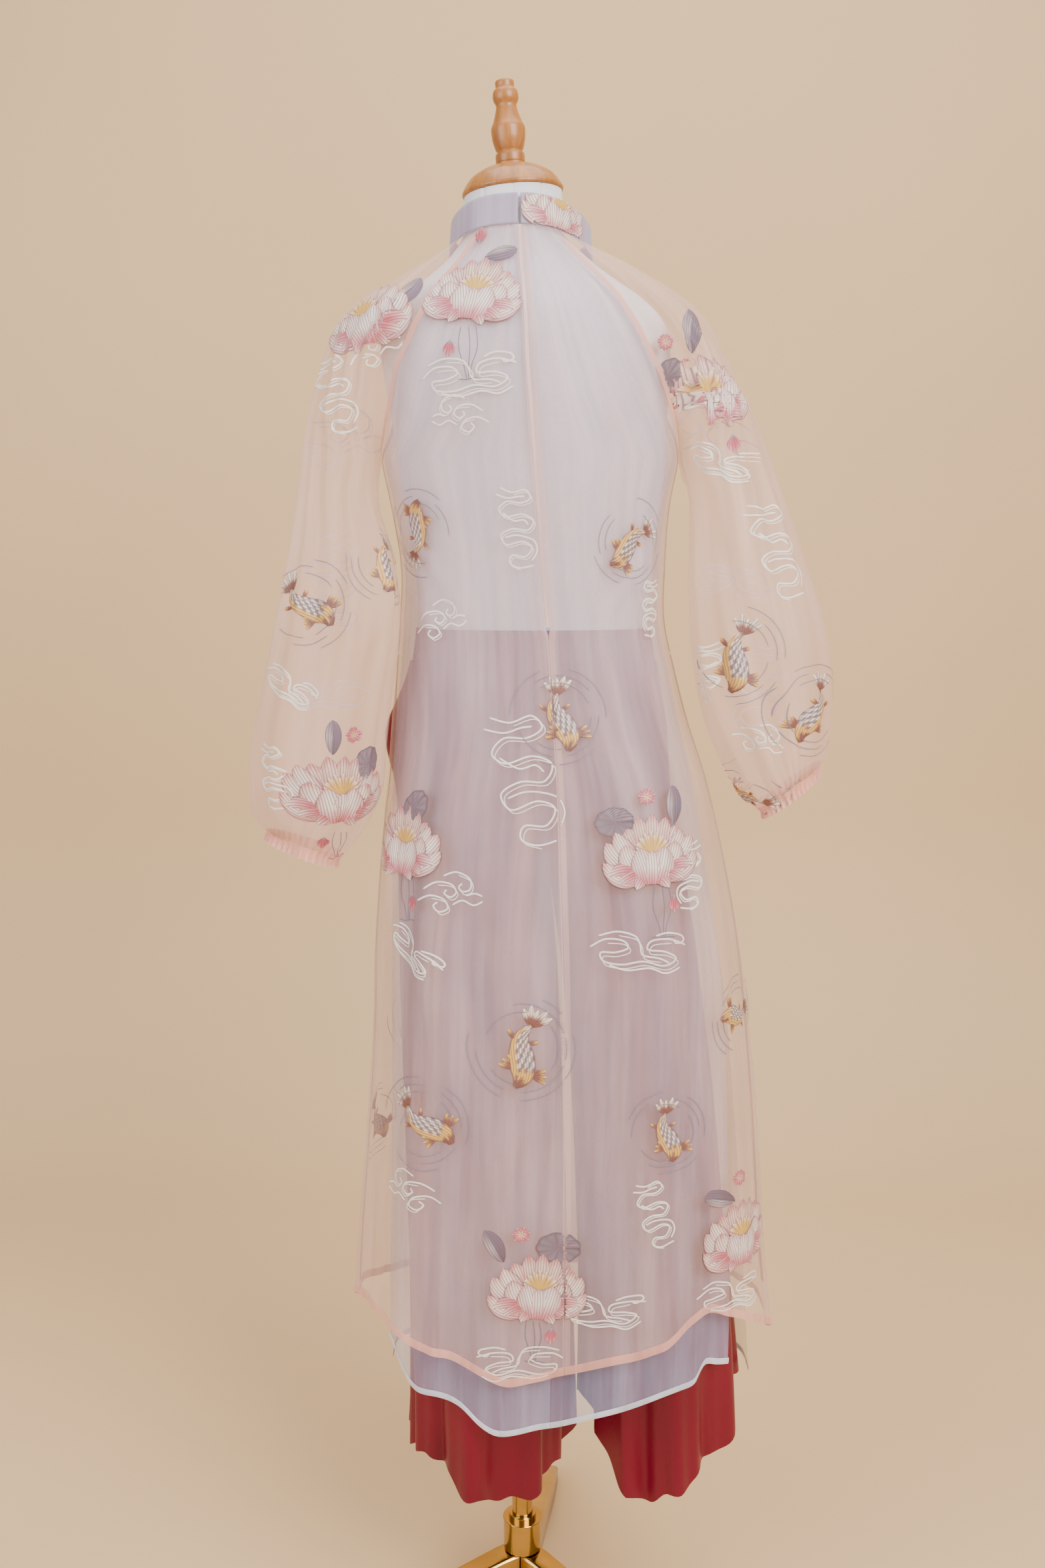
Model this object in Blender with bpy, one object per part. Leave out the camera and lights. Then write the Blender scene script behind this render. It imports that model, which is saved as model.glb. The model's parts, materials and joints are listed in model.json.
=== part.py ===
"""An ao dai of sheer organza over a lilac slip and wide satin trousers, worn by a limbless dress form
on a brass tripod. Metres, +Z up. The back of the garment faces -Y and the wearer's right is +X.
The origin is on the floor, under the middle of the outline."""

from bisect import bisect_right
from collections import namedtuple
from math import asin, cos, exp, pi, radians, sin, tan

import bmesh
import bpy
from mathutils import Matrix, Vector

# Cloth
WALL = 0.0012
SEAM = 0.0003
FULL_TURN = 2 * pi
RIGHT_ANGLE = pi / 2

# Levels of the garment
UNDERARM_Z = 1.371
NECKLINE_LEVEL = 1.580
NAPE_Z = 1.603
NECKLINE_DROP = 0.043
LEVEL_ROWS_END = 1.500
SIDE_GAP = 0.0003
SLIT_TOP = 1.165
WAIST_Z = 1.192
HEM_ROW_TOP = 0.450
SLIP_HEM_ROW_TOP = 0.420

# Columns of points in each piece
BACK_COLUMNS = 11
FRONT_COLUMNS = 18
SLIP_BACK_COLUMNS = 8
SLIP_FRONT_COLUMNS = 14
SLEEVE_COLUMNS = 32
LEG_COLUMNS = 20
BAND_COLUMNS = 24
COLLAR_COLUMNS = 28
FORM_COLUMNS = 24

# Layers
SLIP_DEPTH = 0.0028
ZIP_WIDTH = 0.0040
ZIP_WALL = 0.0016
COLLAR_HEIGHT = 0.031
COLLAR_LEAN = 0.002
COLLAR_INSET = 0.0010
COLLAR_LIFT = 0.0005
COLLAR_OPENING = radians(1.5)
CUFF_GATHER = 0.0016
CUFF_FRILL = 0.0030
WAISTBAND_HEIGHT = 0.036
WAISTBAND_DEPTH = 0.0026
SLIP_BACK_WRAP = radians(38)
FOLD_GROWTH = 0.7
CLOSED_EDGE = 0.001

# Stand
POLE_RADIUS = 0.0125
POLE_COLLAR_RADIUS = 0.0165
HUB_RADIUS = 0.0225
HUB_TOP = 0.126
HUB_BOTTOM = 0.0863
POLE_COLLAR_HEIGHT = 0.006
LEG_REACH = 0.270
LEG_DIRECTIONS = {"base_leg_right": -38.5, "base_leg_back": 81.5, "base_leg_left": 201.5}
FORM_BOTTOM = 0.950
NECK_FOOT = 1.604
NECK_TOP = 1.645
NECK_CENTRE_X = -0.010
TOP_TILT = radians(4.5)
CAP_RADIUS = 0.0535
CAP_HEIGHT = 0.031

# A height, the left side, the centre seam, the right side, how far back and forward, and the squareness
Section = namedtuple("Section", "z left mid right back front power")

OUTER = (
    Section(0.360, -0.192, 0.045, 0.286, 0.150, 0.128, 2.5),
    Section(0.486, -0.186, 0.045, 0.273, 0.150, 0.128, 2.5),
    Section(0.620, -0.176, 0.045, 0.265, 0.148, 0.127, 2.5),
    Section(0.746, -0.168, 0.044, 0.254, 0.146, 0.126, 2.5),
    Section(0.844, -0.165, 0.043, 0.242, 0.142, 0.124, 2.6),
    Section(0.936, -0.158, 0.040, 0.225, 0.136, 0.121, 2.5),
    Section(1.026, -0.149, 0.037, 0.203, 0.127, 0.115, 2.35),
    Section(1.090, -0.144, 0.033, 0.182, 0.118, 0.109, 2.1),
    Section(1.150, -0.138, 0.029, 0.166, 0.106, 0.104, 2.0),
    Section(1.200, -0.134, 0.026, 0.155, 0.096, 0.102, 2.0),
    Section(1.258, -0.132, 0.021, 0.155, 0.097, 0.110, 2.0),
    Section(1.322, -0.142, 0.016, 0.159, 0.102, 0.128, 2.0),
    Section(1.371, -0.152, 0.012, 0.168, 0.104, 0.131, 2.0),
    Section(1.397, -0.154, 0.010, 0.169, 0.106, 0.126, 2.0),
    Section(1.425, -0.155, 0.008, 0.169, 0.107, 0.118, 2.0),
    Section(1.463, -0.158, 0.005, 0.168, 0.106, 0.104, 2.0),
    Section(1.489, -0.161, 0.004, 0.167, 0.103, 0.091, 2.0),
    Section(1.512, -0.160, 0.003, 0.163, 0.097, 0.082, 2.0),
    Section(1.540, -0.137, 0.001, 0.139, 0.084, 0.069, 2.0),
    Section(1.562, -0.107, -0.001, 0.108, 0.073, 0.063, 2.0),
    Section(1.580, -0.084, -0.002, 0.081, 0.065, 0.0590, 2.0),
    Section(1.603, -0.068, -0.003, 0.053, 0.060, 0.0580, 2.0),
)

SLIP_SKIRT = (
    Section(0.310, -0.153, 0.030, 0.268, 0.139, 0.118, 2.6),
    Section(0.486, -0.151, 0.032, 0.257, 0.139, 0.118, 2.6),
    Section(0.620, -0.149, 0.034, 0.246, 0.137, 0.117, 2.5),
    Section(0.746, -0.148, 0.036, 0.234, 0.135, 0.116, 2.5),
    Section(0.844, -0.147, 0.036, 0.220, 0.131, 0.114, 2.6),
    Section(0.936, -0.1455, 0.036, 0.204, 0.126, 0.111, 2.5),
    Section(1.026, -0.1440, 0.035, 0.188, 0.119, 0.107, 2.3),
    Section(1.090, -0.1400, 0.032, 0.172, 0.111, 0.103, 2.1),
    Section(1.150, -0.1335, 0.028, 0.159, 0.101, 0.100, 2.0),
)

FORM = (
    Section(0.950, -0.106, 0.012, 0.130, 0.088, 0.080, 2.0),
    Section(0.965, -0.122, 0.012, 0.146, 0.096, 0.086, 2.0),
    Section(1.030, -0.135, 0.012, 0.159, 0.104, 0.093, 2.0),
    Section(1.090, -0.131, 0.012, 0.155, 0.100, 0.092, 2.0),
    Section(1.150, -0.120, 0.012, 0.144, 0.086, 0.088, 2.0),
    Section(1.195, -0.114, 0.012, 0.138, 0.078, 0.088, 2.0),
    Section(1.250, -0.117, 0.011, 0.139, 0.082, 0.096, 2.0),
    Section(1.310, -0.127, 0.010, 0.147, 0.090, 0.115, 2.0),
    Section(1.350, -0.133, 0.010, 0.153, 0.095, 0.124, 2.0),
    Section(1.400, -0.138, 0.008, 0.155, 0.099, 0.117, 2.0),
    Section(1.450, -0.147, 0.005, 0.157, 0.100, 0.099, 2.0),
    Section(1.490, -0.152, 0.003, 0.158, 0.096, 0.082, 2.0),
    Section(1.516, -0.148, 0.001, 0.150, 0.088, 0.071, 2.0),
    Section(1.540, -0.127, -0.001, 0.126, 0.077, 0.061, 2.0),
    Section(1.562, -0.099, -0.003, 0.093, 0.066, 0.055, 2.0),
    Section(1.582, -0.076, -0.005, 0.067, 0.057, 0.0515, 2.0),
    Section(1.604, -0.0625, -0.009, 0.0450, 0.0535, 0.0510, 2.0),
    Section(1.625, -0.0620, -0.010, 0.0430, 0.0525, 0.0515, 2.0),
    Section(1.645, -0.0615, -0.010, 0.0415, 0.0515, 0.0515, 2.0),
)

# How far the raglan seam lies from the centre seam at each level, from the neck down
Raglan = namedtuple("Raglan", "level reach")
RAGLAN = (
    Raglan(1.580, 0.0560),
    Raglan(1.562, 0.0750),
    Raglan(1.540, 0.0930),
    Raglan(1.512, 0.1100),
    Raglan(1.489, 0.1230),
    Raglan(1.463, 0.1370),
    Raglan(1.425, 0.1490),
    Raglan(1.397, 0.1570),
)

# A fold's middle at the waist and at the hem in degrees from the centre back, its width, depth and top
Fold = namedtuple("Fold", "upper lower width depth top")
BACK_FOLDS = (
    Fold(-62, -74, 9, 0.009, 1.10),
    Fold(-34, -44, 8, 0.013, 1.16),
    Fold(-12, -16, 7, 0.010, 1.06),
    Fold(6, 10, 8, 0.014, 1.14),
    Fold(28, 34, 7, 0.009, 1.00),
    Fold(46, 55, 9, 0.013, 1.12),
    Fold(70, 78, 8, 0.008, 0.96),
)
FRONT_FOLDS = (
    Fold(112, 106, 9, 0.008, 1.08),
    Fold(140, 136, 9, 0.012, 1.12),
    Fold(166, 168, 8, 0.009, 1.04),
    Fold(190, 196, 8, 0.011, 1.10),
    Fold(218, 226, 9, 0.010, 1.06),
    Fold(248, 254, 8, 0.008, 1.00),
)
SLIP_FOLD_SHARE = 0.45

# Height of a hem along a panel, from its first edge (0) to its last (1), or round a leg from its inner seam
Hem = namedtuple("Hem", "share z")
BACK_HEM = (
    Hem(0.0, 0.414), Hem(0.12, 0.409), Hem(0.26, 0.397), Hem(0.38, 0.380), Hem(0.48, 0.376),
    Hem(0.60, 0.384), Hem(0.72, 0.398), Hem(0.84, 0.412), Hem(0.92, 0.398), Hem(1.0, 0.370),
)
FRONT_HEM = (Hem(0.0, 0.372), Hem(0.15, 0.392), Hem(0.4, 0.384), Hem(0.7, 0.390), Hem(1.0, 0.412))
SLIP_BACK_HEM = (
    Hem(0.0, 0.332), Hem(0.2, 0.338), Hem(0.38, 0.312), Hem(0.55, 0.318), Hem(0.8, 0.326),
    Hem(1.0, 0.352),
)
SLIP_FRONT_HEM = (Hem(0.0, 0.312), Hem(0.3, 0.318), Hem(0.7, 0.322), Hem(1.0, 0.330))

LEFT_LEG_HEM = (
    Hem(0.0, 0.246), Hem(0.1, 0.226), Hem(0.21, 0.212), Hem(0.29, 0.236), Hem(0.38, 0.250),
    Hem(0.5, 0.244), Hem(0.65, 0.250), Hem(0.8, 0.252), Hem(1.0, 0.246),
)
RIGHT_LEG_HEM = (
    Hem(0.0, 0.292), Hem(0.07, 0.262), Hem(0.13, 0.232), Hem(0.2, 0.216), Hem(0.28, 0.238),
    Hem(0.37, 0.268), Hem(0.5, 0.308), Hem(0.65, 0.272), Hem(0.8, 0.258), Hem(0.92, 0.272),
    Hem(1.0, 0.292),
)

SKIRT_LEVELS = (0.52, 0.60, 0.68, 0.77, 0.86, 0.94, 1.026, 1.09, 1.15, 1.20, 1.258, 1.322, 1.371)
SLIP_LEVELS = (0.52, 0.64, 0.77, 0.88, 0.96, 1.026, 1.09, 1.15, 1.20, 1.258, 1.322, 1.371)

# A ring of a sleeve above the underarm: its level on the raglan seam, and its outermost point
Yoke = namedtuple("Yoke", "level x z depth")
RIGHT_YOKE = (
    Yoke(1.562, 0.1060, 1.5740, 0.040),
    Yoke(1.540, 0.1350, 1.5600, 0.050),
    Yoke(1.512, 0.1680, 1.5430, 0.054),
    Yoke(1.489, 0.1930, 1.5240, 0.056),
    Yoke(1.463, 0.2130, 1.4940, 0.057),
    Yoke(1.425, 0.2310, 1.4550, 0.057),
    Yoke(1.397, 0.2460, 1.4250, 0.056),
    Yoke(1.371, 0.2570, 1.3970, 0.055),
)
LEFT_YOKE = (
    Yoke(1.562, -0.1070, 1.5720, 0.040),
    Yoke(1.540, -0.1380, 1.5550, 0.050),
    Yoke(1.512, -0.1710, 1.5370, 0.054),
    Yoke(1.489, -0.1950, 1.5160, 0.056),
    Yoke(1.463, -0.2100, 1.4880, 0.057),
    Yoke(1.425, -0.2200, 1.4550, 0.057),
    Yoke(1.397, -0.2290, 1.4250, 0.056),
    Yoke(1.371, -0.2350, 1.3970, 0.055),
)

# A ring of a sleeve below the underarm: its outer and inner points, its half depth, how far back it hangs
Tube = namedtuple("Tube", "outer_x outer_z inner_x inner_z depth back")
RIGHT_TUBE = (
    Tube(0.274, 1.346, 0.1760, 1.330, 0.054, 0.008),
    Tube(0.288, 1.308, 0.1760, 1.278, 0.056, 0.016),
    Tube(0.302, 1.268, 0.1760, 1.225, 0.058, 0.024),
    Tube(0.325, 1.203, 0.1800, 1.160, 0.060, 0.030),
    Tube(0.336, 1.148, 0.1940, 1.092, 0.060, 0.032),
    Tube(0.338, 1.097, 0.2200, 1.034, 0.054, 0.032),
    Tube(0.334, 1.064, 0.2400, 1.004, 0.042, 0.032),
    Tube(0.327, 1.045, 0.2590, 0.991, 0.027, 0.032),
    Tube(0.328, 1.036, 0.2620, 0.983, 0.031, 0.032),
)
LEFT_TUBE = (
    Tube(-0.239, 1.343, -0.1540, 1.328, 0.054, 0.014),
    Tube(-0.247, 1.286, -0.1380, 1.272, 0.056, 0.032),
    Tube(-0.262, 1.210, -0.1280, 1.200, 0.058, 0.046),
    Tube(-0.277, 1.140, -0.1370, 1.130, 0.058, 0.052),
    Tube(-0.291, 1.080, -0.1430, 1.072, 0.058, 0.054),
    Tube(-0.297, 1.030, -0.1450, 1.034, 0.056, 0.054),
    Tube(-0.296, 0.998, -0.1500, 1.012, 0.052, 0.054),
    Tube(-0.290, 0.984, -0.1680, 0.976, 0.042, 0.054),
    Tube(-0.280, 0.976, -0.1960, 0.943, 0.028, 0.054),
    Tube(-0.2815, 0.967, -0.1990, 0.934, 0.032, 0.054),
)

# A level of a trouser leg: its outer and inner sides, how far back and forward, and where its seam edges lie
Leg = namedtuple("Leg", "z outer inner back front edge_back edge_front")
LEFT_LEG = (
    Leg(1.1557, -0.1235, 0.012, 0.0895, 0.0915, 0.0895, 0.0915),
    Leg(1.090, -0.1350, 0.012, 0.1040, 0.0970, 0.1040, 0.0970),
    Leg(1.030, -0.1390, 0.012, 0.1085, 0.0990, 0.1085, 0.0990),
    Leg(0.975, -0.1390, 0.014, 0.1090, 0.0990, 0.1060, 0.0970),
    Leg(0.938, -0.1390, 0.022, 0.1080, 0.0980, 0.0880, 0.0780),
    Leg(0.916, -0.1390, 0.028, 0.1070, 0.0970, 0.0500, 0.0420),
    Leg(0.900, -0.1390, 0.032, 0.1070, 0.0970, 0.0004, 0.0004),
    Leg(0.800, -0.1390, 0.040, 0.1090, 0.0980, 0.0004, 0.0004),
    Leg(0.650, -0.1380, 0.046, 0.1130, 0.0990, 0.0004, 0.0004),
    Leg(0.500, -0.1370, 0.051, 0.1140, 0.1000, 0.0004, 0.0004),
    Leg(0.400, -0.1360, 0.055, 0.1170, 0.1020, 0.0004, 0.0004),
    Leg(0.262, -0.1370, 0.0555, 0.1150, 0.1000, 0.0004, 0.0004),
)
RIGHT_LEG = (
    Leg(1.1557, 0.1475, 0.0123, 0.0895, 0.0915, 0.0895, 0.0915),
    Leg(1.090, 0.1590, 0.0123, 0.1040, 0.0970, 0.1040, 0.0970),
    Leg(1.030, 0.1635, 0.0123, 0.1085, 0.0990, 0.1085, 0.0990),
    Leg(0.975, 0.1710, 0.0143, 0.1090, 0.0990, 0.1060, 0.0970),
    Leg(0.938, 0.1780, 0.0223, 0.1080, 0.0980, 0.0880, 0.0780),
    Leg(0.916, 0.1820, 0.0283, 0.1070, 0.0970, 0.0500, 0.0420),
    Leg(0.900, 0.1850, 0.0323, 0.1070, 0.0970, 0.0004, 0.0004),
    Leg(0.800, 0.2010, 0.0450, 0.1090, 0.0980, 0.0004, 0.0004),
    Leg(0.650, 0.2220, 0.0560, 0.1130, 0.0990, 0.0004, 0.0004),
    Leg(0.500, 0.2380, 0.0640, 0.1140, 0.1000, 0.0004, 0.0004),
    Leg(0.400, 0.2500, 0.0680, 0.1170, 0.1020, 0.0004, 0.0004),
    Leg(0.262, 0.2570, 0.0715, 0.1150, 0.1000, 0.0004, 0.0004),
)
LEG_WAVES = 5
LEG_WAVE_DEPTH = 0.006
LEG_WAVE_TOP = 0.80

# Turned outlines, as a radius at each height above the piece's own foot
Turn = namedtuple("Turn", "radius height")
CAP_OUTLINE = (
    Turn(CAP_RADIUS, 0.0), Turn(CAP_RADIUS, 0.004), Turn(0.0500, 0.0105), Turn(0.0430, 0.0180),
    Turn(0.0320, 0.0245), Turn(0.0200, 0.0288), Turn(0.0165, 0.0295), Turn(0.0165, CAP_HEIGHT),
)
FINIAL_OUTLINE = (
    Turn(0.0153, 0.0), Turn(0.0153, 0.0095), Turn(0.0135, 0.0110), Turn(0.0150, 0.0150),
    Turn(0.0172, 0.0230), Turn(0.0180, 0.0310), Turn(0.0178, 0.0360), Turn(0.0150, 0.0420),
    Turn(0.0118, 0.0520), Turn(0.0108, 0.0580), Turn(0.0130, 0.0625), Turn(0.0136, 0.0670),
    Turn(0.0126, 0.0720), Turn(0.0099, 0.0750), Turn(0.0097, 0.0815), Turn(0.0080, 0.0830),
)
HUB_OUTLINE = (
    Turn(HUB_RADIUS - 0.001, HUB_BOTTOM), Turn(HUB_RADIUS + 0.001, HUB_BOTTOM + 0.001),
    Turn(HUB_RADIUS, HUB_TOP - 0.001), Turn(HUB_RADIUS - 0.001, HUB_TOP),
    Turn(POLE_COLLAR_RADIUS, HUB_TOP), Turn(POLE_COLLAR_RADIUS, HUB_TOP + POLE_COLLAR_HEIGHT),
)

# A station along a stand leg: distance from the pole's axis, half width, underside and top
Station = namedtuple("Station", "reach half_width bottom top")
LEG_STATIONS = (
    Station(0.0006, 0.0005, 0.0500, 0.0860),
    Station(0.0098, 0.0160, 0.0480, 0.0860),
    Station(0.0280, 0.0158, 0.0440, 0.0830),
    Station(0.1200, 0.0140, 0.0230, 0.0590),
    Station(0.2150, 0.0120, 0.0000, 0.0345),
    Station(0.2560, 0.0112, 0.0000, 0.0240),
    Station(LEG_REACH, 0.0085, 0.0000, 0.0150),
)
LEG_CHAMFER = 0.003

COLOURS = {
    "organza": ((0.72, 0.50, 0.42), 0.45, 0.0),
    "embroidered organza": ((0.75, 0.55, 0.50), 0.45, 0.0),
    "lilac lining": ((0.62, 0.57, 0.70), 0.40, 0.0),
    "red satin": ((0.26, 0.012, 0.016), 0.35, 0.0),
    "form cloth": ((0.62, 0.57, 0.50), 0.85, 0.0),
    "turned wood": ((0.50, 0.27, 0.10), 0.45, 0.0),
    "brass": ((0.60, 0.42, 0.16), 0.20, 1.0),
    "zip tape": ((0.70, 0.52, 0.52), 0.60, 0.0),
}


def clear_scene():
    for obj in list(bpy.data.objects):
        bpy.data.objects.remove(obj)


def material(name):
    found = bpy.data.materials.get(name)
    if found:
        return found
    made = bpy.data.materials.new(name)
    made.use_nodes = True
    colour, roughness, metallic = COLOURS[name]
    shader = made.node_tree.nodes["Principled BSDF"]
    shader.inputs["Base Color"].default_value = (*colour, 1)
    shader.inputs["Roughness"].default_value = roughness
    shader.inputs["Metallic"].default_value = metallic
    return made


def finish_object(name, bm, material_name):
    mesh = bpy.data.meshes.new(name)
    bm.to_mesh(mesh)
    bm.free()
    mesh.shade_smooth()
    mesh.set_sharp_from_angle(angle=radians(40))
    obj = bpy.data.objects.new(name, mesh)
    bpy.context.collection.objects.link(obj)
    mesh.materials.append(material(material_name))
    return obj


def grid_mesh(rows):
    """A bmesh grid whose points are the given rows, each a list of points."""
    bm = bmesh.new()
    bmesh.ops.create_grid(bm, x_segments=len(rows[0]) - 1, y_segments=len(rows) - 1, size=1)
    bm.verts.ensure_lookup_table()
    for vert, point in zip(bm.verts, (point for row in rows for point in row)):
        vert.co = point
    return bm


def cloth(name, rows, material_name, wall=WALL):
    """A piece of cloth: the rows give its outer face, and the wall is added inside."""
    obj = finish_object(name, grid_mesh(rows), material_name)
    solidify = obj.modifiers.new("Wall", "SOLIDIFY")
    solidify.thickness = wall
    solidify.offset = -1
    return obj


def closed_loft(name, rings, material_name):
    """A solid through closed rings of points, with flat ends."""
    bm = grid_mesh([ring + ring[:1] for ring in rings])
    bmesh.ops.remove_doubles(bm, verts=bm.verts, dist=1e-6)
    bmesh.ops.holes_fill(bm, edges=bm.edges, sides=0)
    bmesh.ops.recalc_face_normals(bm, faces=bm.faces)
    return finish_object(name, bm, material_name)


def turned(name, outline, steps, material_name):
    """A solid turned about Z."""
    rings = [
        [
            Vector((radius * cos(FULL_TURN * i / steps), radius * sin(FULL_TURN * i / steps), height))
            for i in range(steps)
        ]
        for radius, height in outline
    ]
    return closed_loft(name, rings, material_name)


def between(rows, key):
    """The row of a table at any key, on a smooth curve through its rows. The first field is the key."""
    keys = [row[0] for row in rows]
    i = min(max(bisect_right(keys, key) - 1, 0), len(rows) - 2)
    span = keys[i + 1] - keys[i]
    t = min(max((key - keys[i]) / span, 0), 1)

    def slope(k, column):
        low, high = max(k - 1, 0), min(k + 1, len(rows) - 1)
        return (rows[high][column] - rows[low][column]) / (keys[high] - keys[low]) * span

    def value(column):
        start, end = rows[i][column], rows[i + 1][column]
        leave, arrive = slope(i, column), slope(i + 1, column)
        bend = (3 - 2 * t) * t * t
        return (
            start + (end - start) * bend
            + leave * t * (1 - t) ** 2
            - arrive * t * t * (1 - t)
        )

    return type(rows[0])(*(value(column) for column in range(len(rows[0]))))


def powered(value, power):
    return (1 if value >= 0 else -1) * abs(value) ** (2 / power)


def around(section, angle, z):
    """A point of a section. Angle 0 is the centre back, a right angle the wearer's right side."""
    side = section.right - section.mid if sin(angle) > 0 else section.mid - section.left
    depth = section.back if cos(angle) > 0 else section.front
    return Vector((
        section.mid + side * powered(sin(angle), section.power),
        -depth * powered(cos(angle), section.power),
        z,
    ))


def slip_section(z):
    """The slip follows the outer layer from just under it above the waist, and its own sizes below."""
    if z <= SLIP_SKIRT[-1].z:
        return between(SLIP_SKIRT, z)
    outer = between(OUTER, z)
    joins = between(OUTER, SLIP_SKIRT[-1].z)
    fade = max(0, 1 - (z - SLIP_SKIRT[-1].z) / (UNDERARM_Z - SLIP_SKIRT[-1].z))
    low = SLIP_SKIRT[-1]
    return Section(
        z,
        outer.left + SLIP_DEPTH + fade * (low.left - joins.left - SLIP_DEPTH),
        outer.mid + fade * (low.mid - joins.mid),
        outer.right - SLIP_DEPTH + fade * (low.right - joins.right + SLIP_DEPTH),
        outer.back - SLIP_DEPTH + fade * (low.back - joins.back + SLIP_DEPTH),
        outer.front - SLIP_DEPTH + fade * (low.front - joins.front + SLIP_DEPTH),
        2.0,
    )


def outer_section(z):
    return between(OUTER, z)


def fold_rise(folds, z, angle):
    degrees = angle * 180 / pi
    rise = 0
    for fold in folds:
        down = min(max((fold.top - z) / (fold.top - HEM_ROW_TOP), 0), 1)
        middle = fold.upper + (fold.lower - fold.upper) * down
        away = (degrees - middle) / fold.width
        rise += fold.depth * down ** FOLD_GROWTH * exp(-away * away)
    return rise


def layer_point(section_at, folds, share, angle, z):
    """A point of a cloth layer, with its folds standing out from it."""
    point = around(section_at(z), angle, z)
    rise = share * fold_rise(folds, z, angle)
    return point + Vector((sin(angle), -cos(angle), 0)) * rise


def neckline_z(level, angle):
    """Above the shoulder blades the rows tilt, so that the last one is the neckline."""
    lift = min(max((level - LEVEL_ROWS_END) / (NECKLINE_LEVEL - LEVEL_ROWS_END), 0), 1)
    drop = NECKLINE_DROP * ((1 - cos(angle)) / 2) ** 1.5
    return level + lift * (NAPE_Z - NECKLINE_LEVEL - drop)


def turn_at(section, side, offset):
    """The angle from the centre back at which a section lies this far from its centre seam."""
    half = section.right - section.mid if side > 0 else section.mid - section.left
    return asin(min(offset / half, 1) ** (section.power / 2))


def raglan_angle(row, side, front):
    """The angle at which both layers meet the raglan seam, measured as `around` measures it."""
    turn = turn_at(outer_section(row.level), side, row.reach)
    return side * (pi - turn if front else turn)


def raglan_point(row, side, front, gap):
    """The sleeve's edge point beside a panel's, on the outer layer."""
    section = outer_section(row.level)
    angle = raglan_angle(row, side, front)
    angle += side * (-gap if front else gap) / section.back
    z = neckline_z(row.level, angle)
    return around(outer_section(z), angle, z)


def spread(first, last, columns):
    return [first + (last - first) * i / columns for i in range(columns + 1)]


def hem_z(hem, share):
    return between(hem, share).z


def panel_rows(section_at, folds, share, levels, hem, hem_top, edges, columns, hem_shares=(0, 1)):
    """Rows of a body panel, from its hem to the neckline. `edges(level)` gives its two edge angles,
    and `hem_shares` the stretch of the hem table that it takes."""
    rows = []
    first, last = edges(hem_top)
    hem_row = []
    for i, angle in enumerate(spread(first, last, columns)):
        along = hem_shares[0] + (hem_shares[1] - hem_shares[0]) * i / columns
        hem_row.append(layer_point(section_at, folds, share, angle, hem_z(hem, along)))
    rows.append(hem_row)
    for z in levels:
        rows.append([
            layer_point(section_at, folds, share, angle, z) for angle in spread(*edges(z), columns)
        ])
    for level in [row.level for row in reversed(RAGLAN)]:
        rows.append([
            layer_point(section_at, folds, share, angle, neckline_z(level, angle))
            for angle in spread(*edges(level), columns)
        ])
    return rows


def centre_gap(section_at, level, side, zipped):
    """Half the gap at the centre-back seam, as an angle. The zip stands in it down to the waist."""
    half = (ZIP_WIDTH / 2 + SEAM) if zipped and level > WAIST_Z else SEAM / 2
    section = section_at(neckline_z(level, 0))
    return turn_at(section, side, half)


def side_turn(level, side, front, wrap=None):
    """Edge angle of a panel at its side: the side seam, or the raglan seam above the underarm."""
    for row in RAGLAN:
        if abs(row.level - level) < 1e-6:
            return raglan_angle(row, side, front)
    half_gap = SIDE_GAP / outer_section(level).back
    turn = RIGHT_ANGLE - half_gap if not front else RIGHT_ANGLE + half_gap
    if wrap and level < SLIT_TOP:
        down = (SLIT_TOP - level) / (SLIT_TOP - HEM_ROW_TOP)
        turn -= min(down, 1) * wrap
    return side * turn


def back_half(name, section_at, side, share, levels, hem, hem_top, columns, material_name, wrap=None):
    """The left (-1) or right (1) half of a back, between its side edge and the centre-back seam."""

    def edges(level):
        centre = side * centre_gap(section_at, level, side, section_at is outer_section)
        edge = side_turn(level, side, False, wrap)
        return (edge, centre) if side < 0 else (centre, edge)

    shares = (0, 0.5) if side < 0 else (0.5, 1)
    rows = panel_rows(section_at, BACK_FOLDS, share, levels, hem, hem_top, edges, columns, shares)
    return cloth(name, rows, material_name)


def front_piece(name, section_at, share, levels, hem, hem_top, columns, material_name):
    def edges(level):
        right = side_turn(level, 1, True)
        left = FULL_TURN + side_turn(level, -1, True)
        return right, left

    rows = panel_rows(section_at, FRONT_FOLDS, share, levels, hem, hem_top, edges, columns)
    return cloth(name, rows, material_name)


def tube_row(back_edge, front_edge, outer, depth, columns, ripple=0.0):
    """Points round a tube from its back edge, over its outer side, to its front edge."""
    middle = (back_edge + front_edge) / 2
    half = (back_edge - front_edge) / 2
    depth = max(depth, half.length)
    opening = asin(half.length / depth)
    reach = (outer - middle) / (1 + cos(opening))
    centre = outer - reach
    across = half.normalized() * depth
    row = []
    for i, angle in enumerate(spread(opening, FULL_TURN - opening, columns)):
        swell = 1 + (ripple / depth if i % 2 else -ripple / depth)
        row.append(centre + (across * sin(angle) - reach * cos(angle)) * swell)
    return row


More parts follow.
